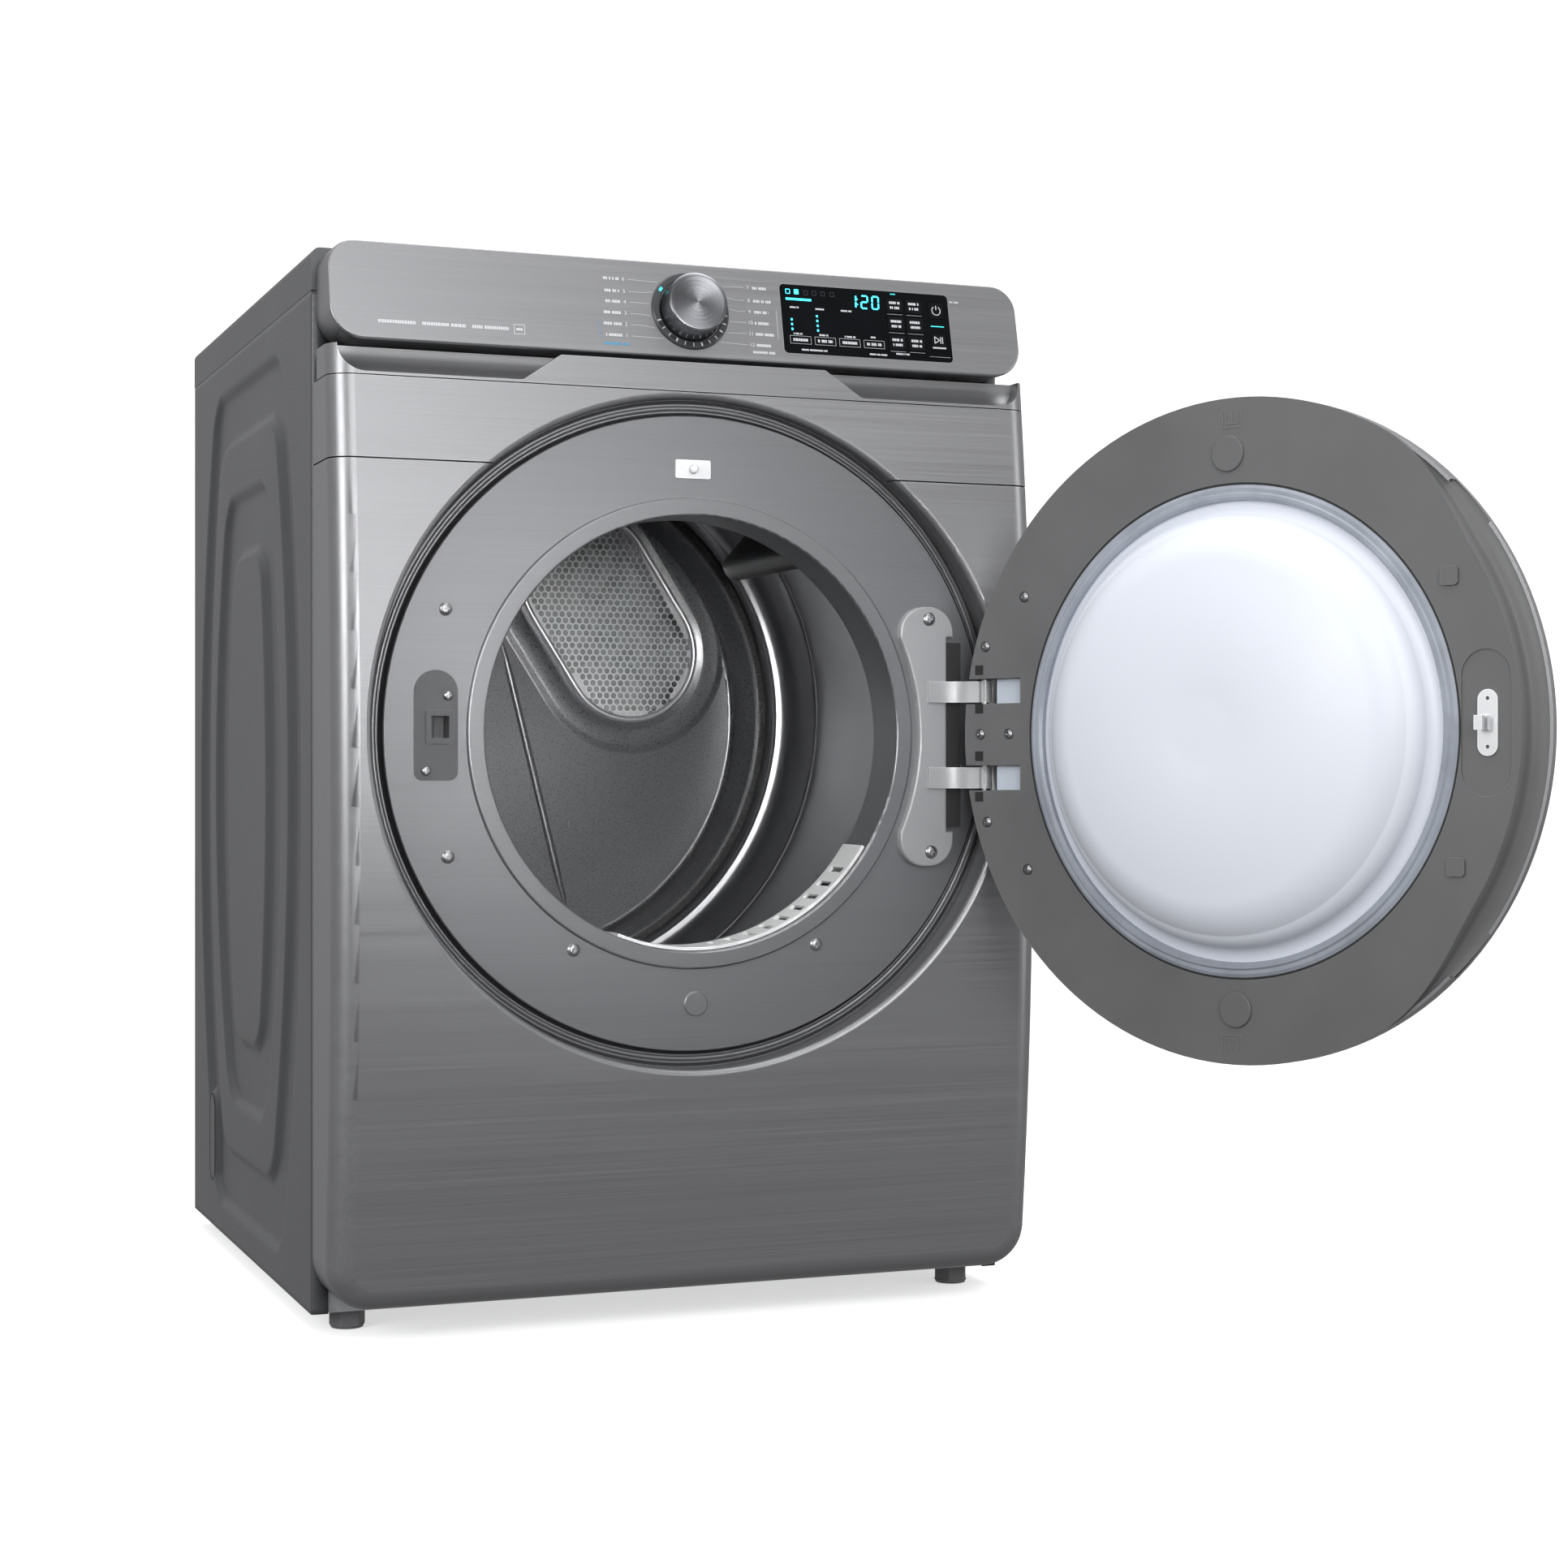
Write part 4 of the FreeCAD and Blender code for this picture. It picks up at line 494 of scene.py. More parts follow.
# Leader lines on the left (-1) and right (1): the heights of their labels, where the lines end
# beside the labels, and where the first and last of them bend. The others bend at LEADER_BEND.
LEADER_UPS = {-1: (27.5, 15.5, 5.0, -6.0, -17.0, -28.0), 1: (27.5, 14.5, 3.5, -7.5, -18.5, -29.5)}
LABEL_ACROSS = {-1: 61.0, 1: 57.0}
OUTER_BEND = {-1: 56.0, 1: 50.0}
LEADER_BEND = 46.0
LEADER_RIM = 40.0
LEADER_FIRST, LEADER_STEP = 42.0, 17.5
LEADER_WIDTH = 0.32
NUMBER_HEIGHT = 0.0052
NUMBER_GAP = 2.5
WORD_GAP = 4.5
# Upright rules beyond the labels, and the blank words low on the left: start, width.
LEFT_RULE = ((-89.5, -32.0), (-89.5, -14.0))
RIGHT_RULE = ((86.5, -22.0), (86.5, 6.0))
FEATURE_WORDS = ((-296.0, 34.0), (-256.0, 40.0), (-210.0, 34.0))


def in_window(across, up):
    """Point on the fascia of a place in the display window, in millimetres."""
    return WINDOW_LOW[0] + across * WINDOW_SIZE[0], WINDOW_LOW[1] + up * WINDOW_SIZE[1]


def dashes(sheet, start, width, height):
    """A row of small blocks where the real fascia has a printed word."""
    at, end = start[0], start[0] + width
    low, high = start[1] - height / 2, start[1] + height / 2
    while at < end:
        step = random.uniform(0.7, 1.5) * height * 0.62
        sheet.box((at, low), (min(at + step * 0.78, end), high))
        at += step + (height * 0.5 if random.random() < 0.12 else 0.0)


# Seven-segment digits: each segment's ends in half heights, and the segments of each digit.
SEGMENTS = {"a": ((0, 2), (1, 2)), "b": ((1, 2), (1, 1)), "c": ((1, 1), (1, 0)),
            "d": ((0, 0), (1, 0)), "e": ((0, 0), (0, 1)), "f": ((0, 1), (0, 2)),
            "g": ((0, 1), (1, 1))}
DIGITS = {"0": "abcdef", "1": "bc", "2": "abged"}


def digit(sheet, symbol, at, size, width):
    """Slightly leaning digit with its lower left corner at a point."""
    across, up = size
    for name in DIGITS[symbol]:
        (ax, ay), (bx, by) = SEGMENTS[name]
        lean = 0.06 * up
        start = (at[0] + ax * across + ay * lean / 2, at[1] + ay * up / 2)
        end = (at[0] + bx * across + by * lean / 2, at[1] + by * up / 2)
        trim = 0.08
        first = tuple(s + (e - s) * trim for s, e in zip(start, end))
        last = tuple(e - (e - s) * trim for s, e in zip(start, end))
        sheet.bar(first, last, width)


def number(text, place, height, shader, name):
    """A dial number as thin raised print."""
    curve = bpy.data.curves.new(name, "FONT")
    curve.body = text
    curve.size = height
    curve.extrude = MARK_THICK / 2
    curve.align_x = "CENTER"
    curve.align_y = "CENTER"
    source = bpy.data.objects.new(name, curve)
    mesh = bpy.data.meshes.new_from_object(source)
    bpy.data.objects.remove(source)
    verts = [place(v.co.x, v.co.y, v.co.z + MARK_THICK / 2) for v in mesh.vertices]
    faces = [list(p.vertices) for p in mesh.polygons]
    return finished(name, verts, faces, shader, "cabinet")


def make_cycle_marks():
    """Leader lines, numbers and blank marks on both sides of the knob."""
    lines = Sheet(raised(0.0), MARK_THICK)
    words = Sheet(raised(0.0), MARK_THICK)
    blue = Sheet(raised(0.0), MARK_THICK)
    for side, heights in LEADER_UPS.items():
        for i, up in enumerate(heights):
            angle = math.radians(LEADER_FIRST - LEADER_STEP * i)
            rim = (side * LEADER_RIM * math.cos(angle), LEADER_RIM * math.sin(angle))
            tip = (side * (OUTER_BEND[side] if i in (0, 5) else LEADER_BEND), up)
            label = side * LABEL_ACROSS[side]
            lines.bar((label - side * 2.0, up), tip, LEADER_WIDTH)
            lines.bar(tip, rim, LEADER_WIDTH)
            value = 6 - i if side < 0 else 7 + i
            text_at = label + side * NUMBER_GAP

            def number_place(a, b, height, x=text_at, z=up):
                return fascia_place(x * MM + a, z * MM + b, height)
            number(str(value), number_place, NUMBER_HEIGHT, PRINT_MARK, f"dial_number_{value}")
            width = random.uniform(13.0, 19.0)
            start = text_at + WORD_GAP if side > 0 else text_at - WORD_GAP - width
            dashes(words, (start, up), width, 2.7)
    blue.bar(*LEFT_RULE, 0.35)
    lines.bar(*RIGHT_RULE, 0.35)
    dashes(blue, (-86.0, -36.5), 24.0, 2.6)
    dashes(words, (60.0, -36.5), 22.0, 2.3)
    for low, width in FEATURE_WORDS:
        dashes(words, (low, -28.5), width, 3.1)
    words.frame((-171.0, -33.0), (-161.0, -24.0), 0.5)
    words.bar((-169.0, -28.5), (-163.0, -28.5), 2.0)
    dashes(words, (268.5, 27.5), 9.0, 2.0)
    lines.done("leader_lines", PRINT_MARK, "cabinet")
    words.done("blank_marks", PRINT_MARK, "cabinet")
    blue.done("blue_marks", BLUE_MARK, "cabinet")


# Places in the window as shares of its width and height. The words also have a width.
CLOCK = (("1", 0.405), ("2", 0.475), ("0", 0.54))
CLOCK_SIZE = (6.4, 12.6)
LEVEL_COLUMNS = (0.055, 0.205)
LEVEL_ROWS = (0.56, 0.49, 0.42, 0.35)
WINDOW_WORDS = ((0.05, 0.67, 9), (0.2, 0.665, 9), (0.35, 0.665, 11), (0.06, 0.285, 9),
                (0.21, 0.285, 9), (0.36, 0.285, 11), (0.515, 0.30, 5), (0.10, 0.055, 26),
                (0.5, 0.05, 18), (0.66, 0.08, 14))


def make_display():
    """Lit clock, icons, level dots and blank words on the display window."""
    lit = Sheet(raised(WINDOW_LIFT), MARK_THICK)
    clock_up = in_window(0, 0.725)[1]
    for symbol, across in CLOCK:
        digit(lit, symbol, (in_window(across, 0)[0], clock_up), CLOCK_SIZE, 1.55)
    colon = in_window(0.452, 0)[0]
    for up in (3.6, 8.8):
        lit.box((colon - 0.7, clock_up + up - 0.7), (colon + 0.7, clock_up + up + 0.7))
    for i, across in enumerate((0.045, 0.095)):
        x, z = in_window(across, 0.90)
        lit.frame((x - 2.0, z - 2.2), (x + 2.0, z + 2.2), 0.6)
        if i:
            lit.box((x - 1.4, z - 1.6), (x + 1.4, z + 1.6))
    dashes(lit, in_window(0.03, 0.79), 26.0, 2.3)
    for across in LEVEL_COLUMNS:
        for up in LEVEL_ROWS:
            if (across, up) == (LEVEL_COLUMNS[0], LEVEL_ROWS[0]):
                continue
            x, z = in_window(across, up)
            lit.box((x - 0.9, z - 1.1), (x + 0.9, z + 1.1))
    lit.done("clock_and_icons", CYAN_GLOW, "cabinet")
    dim = Sheet(raised(WINDOW_LIFT), MARK_THICK)
    for across in (0.15, 0.20, 0.25, 0.305):
        x, z = in_window(across, 0.895)
        dim.frame((x - 1.9, z - 2.1), (x + 1.9, z + 2.1), 0.4)
    dim.done("unlit_icons", DIM_MARK, "cabinet")
    words = Sheet(raised(WINDOW_LIFT), MARK_THICK)
    for across, up, width in WINDOW_WORDS:
        dashes(words, in_window(across, up), width, 1.7)
    for column in (0.628, 0.743):
        for up in (0.665, 0.39, 0.115):
            words.bar(in_window(column, up), in_window(column + 0.092, up), 0.22)
    words.bar(in_window(0.862, 0.07), in_window(0.988, 0.07), 0.22)
    words.done("window_marks", PALE_PRINT_GLOW, "cabinet")
    teal = Sheet(raised(WINDOW_LIFT), MARK_THICK)
    teal.bar(in_window(0.885, 0.525), in_window(0.965, 0.525), 0.9)
    teal.bar(in_window(0.655, 0.965), in_window(0.685, 0.965), 0.9)
    teal.done("status_bar", TEAL_GLOW, "cabinet")


# The bars of the start and pause symbol, from its centre.
START_STROKES = (((-4.2, -3.4), (-4.2, 3.4)), ((-4.2, 3.4), (0.8, 0.0)), ((0.8, 0.0), (-4.2, -3.4)),
                 ((1.9, -3.4), (1.9, 3.4)), ((4.0, -3.4), (4.0, 3.4)))


def make_key_marks():
    """Marks on the key caps. Each one rides with its own key."""
    for i in range(4):
        marks = Sheet(raised(KEY_LIFT), MARK_THICK)
        x, z = in_window(0.0975 + 0.1445 * i, 0.195)
        marks.frame((x - 10.6, z - 3.9), (x + 10.6, z + 3.9), 0.25)
        dashes(marks, (x - 7.5, z), 15.0, 2.7)
        marks.done(f"key_mark_option_{i + 1}", PALE_PRINT_GLOW, f"key_option_{i + 1}")
    for i in range(6):
        marks = Sheet(raised(KEY_LIFT), MARK_THICK)
        x, z = in_window(0.675 + 0.115 * (i // 3), 0.80 - 0.275 * (i % 3))
        dashes(marks, (x - 5.5, z + 2.4), 11.0, 2.5)
        dashes(marks, (x - 5.0, z - 2.6), 10.0, 2.5)
        marks.done(f"key_mark_menu_{i + 1}", PALE_PRINT_GLOW, f"key_menu_{i + 1}")
    power = Sheet(raised(KEY_LIFT), MARK_THICK)
    x, z = in_window(0.925, 0.76)
    power.arc((x, z), 4.4, 0.75, 122, 418)
    power.bar((x, z + 0.8), (x, z + 5.2), 0.8)
    power.done("key_mark_power", PALE_PRINT_GLOW, "key_power")
    start = Sheet(raised(KEY_LIFT), MARK_THICK)
    x, z = in_window(0.925, 0.32)
    for first, second in START_STROKES:
        start.bar((x + first[0], z + first[1]), (x + second[0], z + second[1]), 0.75)
    dashes(start, (x - 7.0, z - 8.0), 14.0, 1.6)
    start.done("key_mark_start", PALE_PRINT_GLOW, "key_start")


# Bezel ring: the ends of its ticks, and the middle radius of its dark bars.
TICK_RADII = (32.2, 35.8)
BAR_RADIUS = 34.0


def make_bezel_marks():
    """Ticks on the ring round the knob, and its small lamp."""
    pale = Sheet(raised(BEZEL_LIFT), MARK_THICK)
    dark = Sheet(raised(BEZEL_LIFT), MARK_THICK)
    for i in range(12):
        angle = math.radians(200 + 14.0 * i)
        ends = [(r * math.cos(angle), r * math.sin(angle)) for r in TICK_RADII]
        pale.bar(ends[0], ends[1], 1.3 if i % 3 == 0 else 0.7)
    for i in range(6):
        start = 203 + 28.0 * i
        dark.arc((0, 0), BAR_RADIUS, 3.4, start, start + 8.0, 4)
    pale.done("bezel_ticks", PRINT_MARK, "cabinet")
    dark.done("bezel_bars", DARK_GAP, "cabinet")
    lamp = Sheet(raised(BEZEL_LIFT), MARK_THICK * 4)
    lamp.arc((0, 0), 34.2, 2.6, 143, 150, 4)
    lamp.done("bezel_lamp", TEAL_GLOW, "cabinet")


# ---------------------------------------------------------------- side panels
SIDE_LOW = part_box("side_panel_left")[0]
SIDE_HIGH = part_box("side_panel_left")[1]
SIDE_X = 343.0
SIDE_STEP = 3.5
SIDE_MARGIN = 5.0
# Turned-in flange at the front and back edges: (distance from the edge, extra depth).
SIDE_FLANGE = [(0.0, 15.5), (0.0, 2.6), (0.8, 0.8), (2.6, 0.0)]
SHEET_THICKNESS = 0.0012
# Nested embosses: bottom, top, and half-widths at the top, the middle and the bottom.
EMBOSSES = [(45, 913, 187, 284, 185), (105, 861, 156, 229, 143),
            (161, 799, 116, 185, 100), (226, 739, 80, 115, 75)]
EMBOSS_DEPTH = 5.5
EMBOSS_SLOPE = 11.0
EMBOSS_CORNER = 42.0
# Oblong knock-out: its y, the heights of its two centres, its radius and its groove's width.
KNOCK_OUT_Y = 208.0
KNOCK_OUT_LOW, KNOCK_OUT_HIGH = 82.0, 144.0
KNOCK_OUT_RADIUS = 16.0
KNOCK_OUT_FLAT = 7.0
KNOCK_OUT_LINE = 1.3


def smooth_step(value):
    share = min(max(value, 0.0), 1.0)
    return share * share * (3 - 2 * share)


def barrel_distance(emboss, y, z):
    """Distance from a point to the inside of a barrel outline. It's below zero outside."""
    low, high, top, middle, bottom = emboss
    along = min(max((z - low) / (high - low), 0.0), 1.0)
    bend = 2 * top + 2 * bottom - 4 * middle
    half = bottom + (top - bottom - bend) * along + bend * along * along
    side = EMBOSS_CORNER - (half - abs(y))
    end = EMBOSS_CORNER - min(z - low, high - z)
    return EMBOSS_CORNER - math.hypot(max(side, 0.0), max(end, 0.0)) - min(max(side, end), 0.0)


def side_depth(y, z):
    """How far the sheet lies behind the panel's outer plane."""
    depth, sign = 0.0, 1
    for emboss in EMBOSSES:
        depth += sign * EMBOSS_DEPTH * smooth_step(barrel_distance(emboss, y, z) / EMBOSS_SLOPE)
        sign = -sign
    nearest = min(max(z, KNOCK_OUT_LOW), KNOCK_OUT_HIGH)
    away = math.hypot(y - KNOCK_OUT_Y, z - nearest) - KNOCK_OUT_RADIUS
    return depth * smooth_step(away / KNOCK_OUT_FLAT)


def side_lines(low, high, flanged):
    """Grid lines with their extra depth: a turned-in flange at both ends, or a plain edge."""
    turn = SIDE_FLANGE if flanged else [(0.0, 0.0)]
    span = high - low - 2 * SIDE_MARGIN
    count = int(span / SIDE_STEP)
    middle = [(SIDE_MARGIN + span * i / count, 0.0) for i in range(count + 1)]
    lines = turn + middle + [(high - low - at, extra) for at, extra in reversed(turn)]
    return [(low + at, extra) for at, extra in lines]


def make_side_panel(name, side):
    """Sheet with the soft pressed shape of the real panel. side is -1 on the left, 1 on the right."""
    columns = side_lines(SIDE_LOW[1] / MM, SIDE_HIGH[1] / MM, True)
    rows = side_lines(SIDE_LOW[2] / MM, SIDE_HIGH[2] / MM, False)
    verts = []
    for y, extra in columns:
        for z, _ in rows:
            depth = extra + (0.0 if extra else side_depth(y, z))
            verts.append((side * (SIDE_X - depth) * MM, y * MM, z * MM))
    faces = grid_faces(len(columns), len(rows))
    if side > 0:
        faces = [face[::-1] for face in faces]
    panel = finished(f"pressed_{name}", verts, faces, MATERIALS["side_paint"], "cabinet",
                     smooth=True)
    thick = panel.modifiers.new("thickness", "SOLIDIFY")
    thick.thickness = SHEET_THICKNESS
    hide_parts(name)
    edge = Sheet(lambda a, b, h: Vector((side * (SIDE_X * MM + h), a, b)), 0.00025)
    edge.arc((KNOCK_OUT_Y, KNOCK_OUT_HIGH), KNOCK_OUT_RADIUS, KNOCK_OUT_LINE, 0, 180)
    edge.arc((KNOCK_OUT_Y, KNOCK_OUT_LOW), KNOCK_OUT_RADIUS, KNOCK_OUT_LINE, 180, 360)
    for y in (KNOCK_OUT_Y - KNOCK_OUT_RADIUS, KNOCK_OUT_Y + KNOCK_OUT_RADIUS):
        edge.bar((y, KNOCK_OUT_LOW), (y, KNOCK_OUT_HIGH), KNOCK_OUT_LINE)
    edge.done(f"knock_out_{name}", DARK_GAP, "cabinet")


# ---------------------------------------------------------------- inside the drum
GRILLE_ENDS = ((146.0, 650.0), (93.0, 733.0))
GRILLE_RADIUS = 76.0
GRILLE_PITCH = 8.3
GRILLE_HOLE = 3.5
GRILLE_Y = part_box("air_grille")[0][1] + 0.003
GRILLE_DOME = 2.0
HOLE_SIDES = 12
# Profiles round the grille: (radius, distance in front of the wall).
RIM_PROFILE = [(74.0, 1.0), (74.6, 4.5), (76.0, 6.6), (78.0, 7.4), (80.0, 6.6), (81.4, 4.4),
               (81.8, 0.2)]
GROOVE_PROFILE = [(81.8, 0.3), (84.0, 0.35), (88.5, 2.6), (91.0, 3.2), (107.0, 3.2), (111.0, 2.6),
                  (115.0, 0.6), (118.0, 0.1)]
REAR_Y = 0.243


def rear_place(a, b, height):
    """Point on the drum's rear wall, height metres in front of it."""
    return Vector((a, REAR_Y - height, b))


def slot_distance(x, z):
    """Distance from a point to the line between the grille's two centres."""
    (ax, az), (bx, bz) = GRILLE_ENDS
    along = ((x - ax) * (bx - ax) + (z - az) * (bz - az)) / ((bx - ax) ** 2 + (bz - az) ** 2)
    along = min(max(along, 0.0), 1.0)
    return math.hypot(x - ax - along * (bx - ax), z - az - along * (bz - az))


def slot_loop(radius, count=96):
    """Points of the stadium outline at a radius round the grille's two centres."""
    (ax, az), (bx, bz) = GRILLE_ENDS
    lean = math.atan2(bz - az, bx - ax)
    loop = []
    for end, start in (((bx, bz), lean - math.pi / 2), ((ax, az), lean + math.pi / 2)):
        for i in range(count // 2 + 1):
            angle = start + math.pi * i / (count // 2)
            loop.append((end[0] + radius * math.cos(angle), end[1] + radius * math.sin(angle)))
    return loop


def lofted(name, profile, shader):
    """Ring round the grille. profile lists (radius, distance in front of the wall) in millimetres."""
    loops = [slot_loop(radius) for radius, _ in profile]
    verts = []
    for loop, (_, out) in zip(loops, profile):
        verts += [rear_place(x * MM, z * MM, out * MM) for x, z in loop]
    faces = grid_faces(len(loops), len(loops[0]), closed=True)
    finished(name, verts, faces, shader, "cabinet", smooth=True)


def make_grille():
    """Finely perforated sheet with a rolled bright rim, and the embossed groove round it."""
    mesh = bmesh.new()
    row_step = GRILLE_PITCH * math.sin(math.radians(60))
    corner = GRILLE_PITCH / math.sqrt(3)
    for row in range(-20, 24):
        for column in range(-22, 22):
            x = GRILLE_ENDS[0][0] + GRILLE_PITCH * (column + 0.5 * (row % 2))
            z = GRILLE_ENDS[0][1] + row_step * row
            if slot_distance(x, z) > GRILLE_RADIUS:
                continue
            open_cell = slot_distance(x, z) < GRILLE_RADIUS - GRILLE_HOLE - 1.2
            outer, inner = [], []
            for i in range(HOLE_SIDES):
                angle = math.radians(30 * i + 30)
                flat = corner if i % 2 == 0 else GRILLE_PITCH / 2
                outer.append(mesh.verts.new(grille_point(x, z, flat, angle)))
                inner.append(mesh.verts.new(grille_point(x, z, GRILLE_HOLE, angle)))
            if not open_cell:
                mesh.faces.new(outer)
                continue
            for i in range(HOLE_SIDES):
                j = (i + 1) % HOLE_SIDES
                mesh.faces.new([outer[i], outer[j], inner[j], inner[i]])
    bmesh.ops.remove_doubles(mesh, verts=mesh.verts, dist=0.00002)
    data = bpy.data.meshes.new("fine_grille")
    mesh.to_mesh(data)
    mesh.free()
    sheet = bpy.data.objects.new("fine_grille", data)
    SCENE.collection.objects.link(sheet)
    thick = sheet.modifiers.new("thickness", "SOLIDIFY")
    thick.thickness = SHEET_THICKNESS
    dress(sheet, MATERIALS["grille"])
    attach(sheet, "cabinet")
    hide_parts("air_grille")
    lofted("grille_rim", RIM_PROFILE, MATERIALS["grille"])
    lofted("grille_emboss", GROOVE_PROFILE, MATERIALS["bulkhead"])


def grille_point(x, z, radius, angle):
    """Corner of a cell of the grille, which bulges a little towards the front."""
    dome = GRILLE_DOME * (1 - (slot_distance(x, z) / GRILLE_RADIUS) ** 2)
    across, up = radius * math.cos(angle), radius * math.sin(angle)
    return (x + across) * MM, GRILLE_Y - dome * MM, (z + up) * MM


def ridge(name, points, width, height):
    """Half-round bead pressed along a line on the rear wall."""
    steps = 7
    verts = []
    for i, (x, z) in enumerate(points):
        ahead = points[min(i + 1, len(points) - 1)]
        behind = points[max(i - 1, 0)]
        length = math.hypot(ahead[0] - behind[0], ahead[1] - behind[1])
        nx, nz = -(ahead[1] - behind[1]) / length, (ahead[0] - behind[0]) / length
        fade = min(i, len(points) - 1 - i, 2) / 2
        for k in range(steps):
            angle = math.pi * k / (steps - 1)
            side = math.cos(angle) * width / 2 * (0.4 + 0.6 * fade)
            out = math.sin(angle) * height * fade + 0.05
            verts.append(rear_place((x + nx * side) * MM, (z + nz * side) * MM, out * MM))
    faces = grid_faces(len(points), steps)
    finished(name, verts, faces, MATERIALS["bulkhead"], "cabinet", smooth=True)


def make_rear_wall():
    """Long slanting bead, its short curved tail and two small loops on the rear wall."""
    line = [(-7 + 75 * t, 658 - 303 * t) for t in (i / 16 for i in range(17))]
    ridge("wall_bead", line, 9.0, 3.4)
    tail = [(68 + 12 * t * t, 355 - 40 * t) for t in (i / 8 for i in range(9))]
    ridge("wall_bead_low", tail, 6.0, 1.6)
    turns = [math.radians(-60 + 20 * k) for k in range(16)]
    for i, x in enumerate((73.0, 106.0)):
        loop = [(x + 3.2 * math.cos(turn), 450 + 5.5 * math.sin(turn)) for turn in turns]
        ridge(f"wall_loop_{i + 1}", loop, 2.2, 2.2)


# ---------------------------------------------------------------- door
HINGE = next(joint for joint in frame["record"]["behaviour"]["joints"]
             if joint["name"] == "door_hinge")
DOOR_TURN = math.radians(-HINGE["range_deg"][0])
DOOR_SWING = (Matrix.Translation(Vector(HINGE["pos_m"])) @ Matrix.Rotation(DOOR_TURN, 4, "Z")
              @ Matrix.Translation(-Vector(HINGE["pos_m"])))
# Metres: the heights of the door's and the drum's centres, the front of the surround's disc, and
# the inner face of the closed door.
DOOR_Z = 0.5446
DRUM_Z = 0.575
SURROUND_Y = -0.4015
DOOR_FACE = -0.4125
# The finger grip's radii and fall in millimetres, and in degrees the angles from its middle at which
# it starts to fade and ends.
DOOR_RADIUS = 294.0
GRIP_RADIUS = 273.0
GRIP_FALL = 13.6
GRIP_FULL = 32.0
GRIP_END = 60.0
# Painted shade on the step at the foot of the disc, and the bead and joint of the round recess:
# (radius, y).
DISC_STEP_SHADE = [(294.8, -400.4), (296.9, -394.0), (297.6, -393.9)]
CHANNEL_BEAD = [(299.0, -393.7), (299.8, -394.9), (301.4, -395.5), (303.0, -394.9), (303.8, -393.7)]
RIM_JOINT = [(305.6, -393.8), (308.6, -393.8)]
# Rolled step near the back of the drum: a quarter ellipse from its front edge inwards, then a lip.
ROLL_RADIUS, ROLL_FRONT = 321.5, 86.0
ROLL_RISE, ROLL_LENGTH = 27.0, 64.0
ROLL_STEPS = 14
ROLL_LIP = [(293.6, 150.6), (292.9, 152.5), (292.7, 158.0)]
# Spacer behind the hinge's leaf: corners in x and z.
SPACER = ((238.0, 457.0), (267.0, 633.0))
SPACER_THICKNESS = 0.007
# Heights of the two arm slots and of the clip holes about the door's centre, and their ends in x.
ARM_OFFSETS = (41.0, -41.0)
COVER_ENDS = (230.2, 262.0)
COVER_HALF = 11.4
COVER_DEPTH = 0.009
CLIP_OFFSETS = (61.0, 24.5, -20.5, -59.0)
CLIP_ENDS = (272.5, 282.0)
CLIP_HALF = 4.6


def door_place(a, b, height):
    """Point on the inner face of the door, height metres towards the cabinet when it's closed."""
    return DOOR_SWING @ Vector((a, DOOR_FACE + height, DOOR_Z + b))


def make_grip_surface():
    """Smooth finger grip that falls from the wavy edge of the inner frame to the outer ring."""
    columns, rows = 96, 18
    verts, faces = [], []
    for i in range(columns + 1):
        angle = GRIP_END * (2 * i / columns - 1)
        share = smooth_step((GRIP_END - abs(angle)) / (GRIP_END - GRIP_FULL))
        inner = DOOR_RADIUS - (DOOR_RADIUS - GRIP_RADIUS) * share - 0.4
        outer = DOOR_RADIUS - 0.1
        turn = math.radians(180 + angle)
        for j in range(rows + 1):
            along = j / rows
            round_over = 1 - math.sqrt(max(1 - min(along / 0.2, 1.0) ** 2, 0.0))
            fall = 0.38 * round_over + 0.62 * (1 - (1 - along) ** 2.6)
            depth = -0.12 + GRIP_FALL * fall * (0.24 + 0.76 * share)
            radius = inner + (outer - inner) * along
            across, up = radius * math.cos(turn), radius * math.sin(turn)
            verts.append(door_place(across * MM, up * MM, -depth * MM))
    for i in range(columns):
        for j in range(rows):
            first = i * (rows + 1) + j
            faces.append([first, first + rows + 1, first + rows + 2, first + 1])
    finished("finger_grip", verts, faces, MATERIALS["door_plastic"], "door",
             smooth=True)


def make_door_marks():
    """Plain embossed marks above and below the glass, like those on the real moulding."""
    for name, centre, flip in (("upper", 275.0, 1), ("lower", -275.0, -1)):
        marks = Sheet(door_place, 0.0005)
        for half, low in ((9.5, -7.0), (6.2, -4.0)):
            for side in (-1, 1):
                marks.bar((side * half, centre + flip * low), (side * half, centre + flip * 7.0), 0.9)
            marks.bar((-half, centre + flip * low), (half, centre + flip * low), 0.9)
        marks.bar((0.0, centre - 4.0), (0.0, centre + 7.0 * flip), 0.9)
        marks.done(f"door_mark_{name}", MATERIALS["door_plastic"], "door")


def ring_round(name, profile, shader, body="cabinet", centre_z=DOOR_Z):
    """Smooth ring about a line along Y. profile lists (radius, y) in millimetres."""
    count = 160
    verts = []
    for radius, y in profile:
        for i in range(count):
            angle = 2 * math.pi * i / count
            across, up = radius * math.cos(angle), radius * math.sin(angle)
            verts.append((across * MM, y * MM, centre_z + up * MM))
    faces = grid_faces(len(profile), count, closed=True)
    finished(name, verts, faces, shader, body, smooth=True)


def make_recess_lines():
    """Painted shade on the step at the foot of the disc, bead in the channel and dark joint at the
    rolled rim.
    """
    ring_round("disc_step_painted_shade", DISC_STEP_SHADE, DARK_GAP)
    ring_round("channel_bead", CHANNEL_BEAD, MATERIALS["surround"])
    ring_round("rim_joint", RIM_JOINT, DARK_GAP)


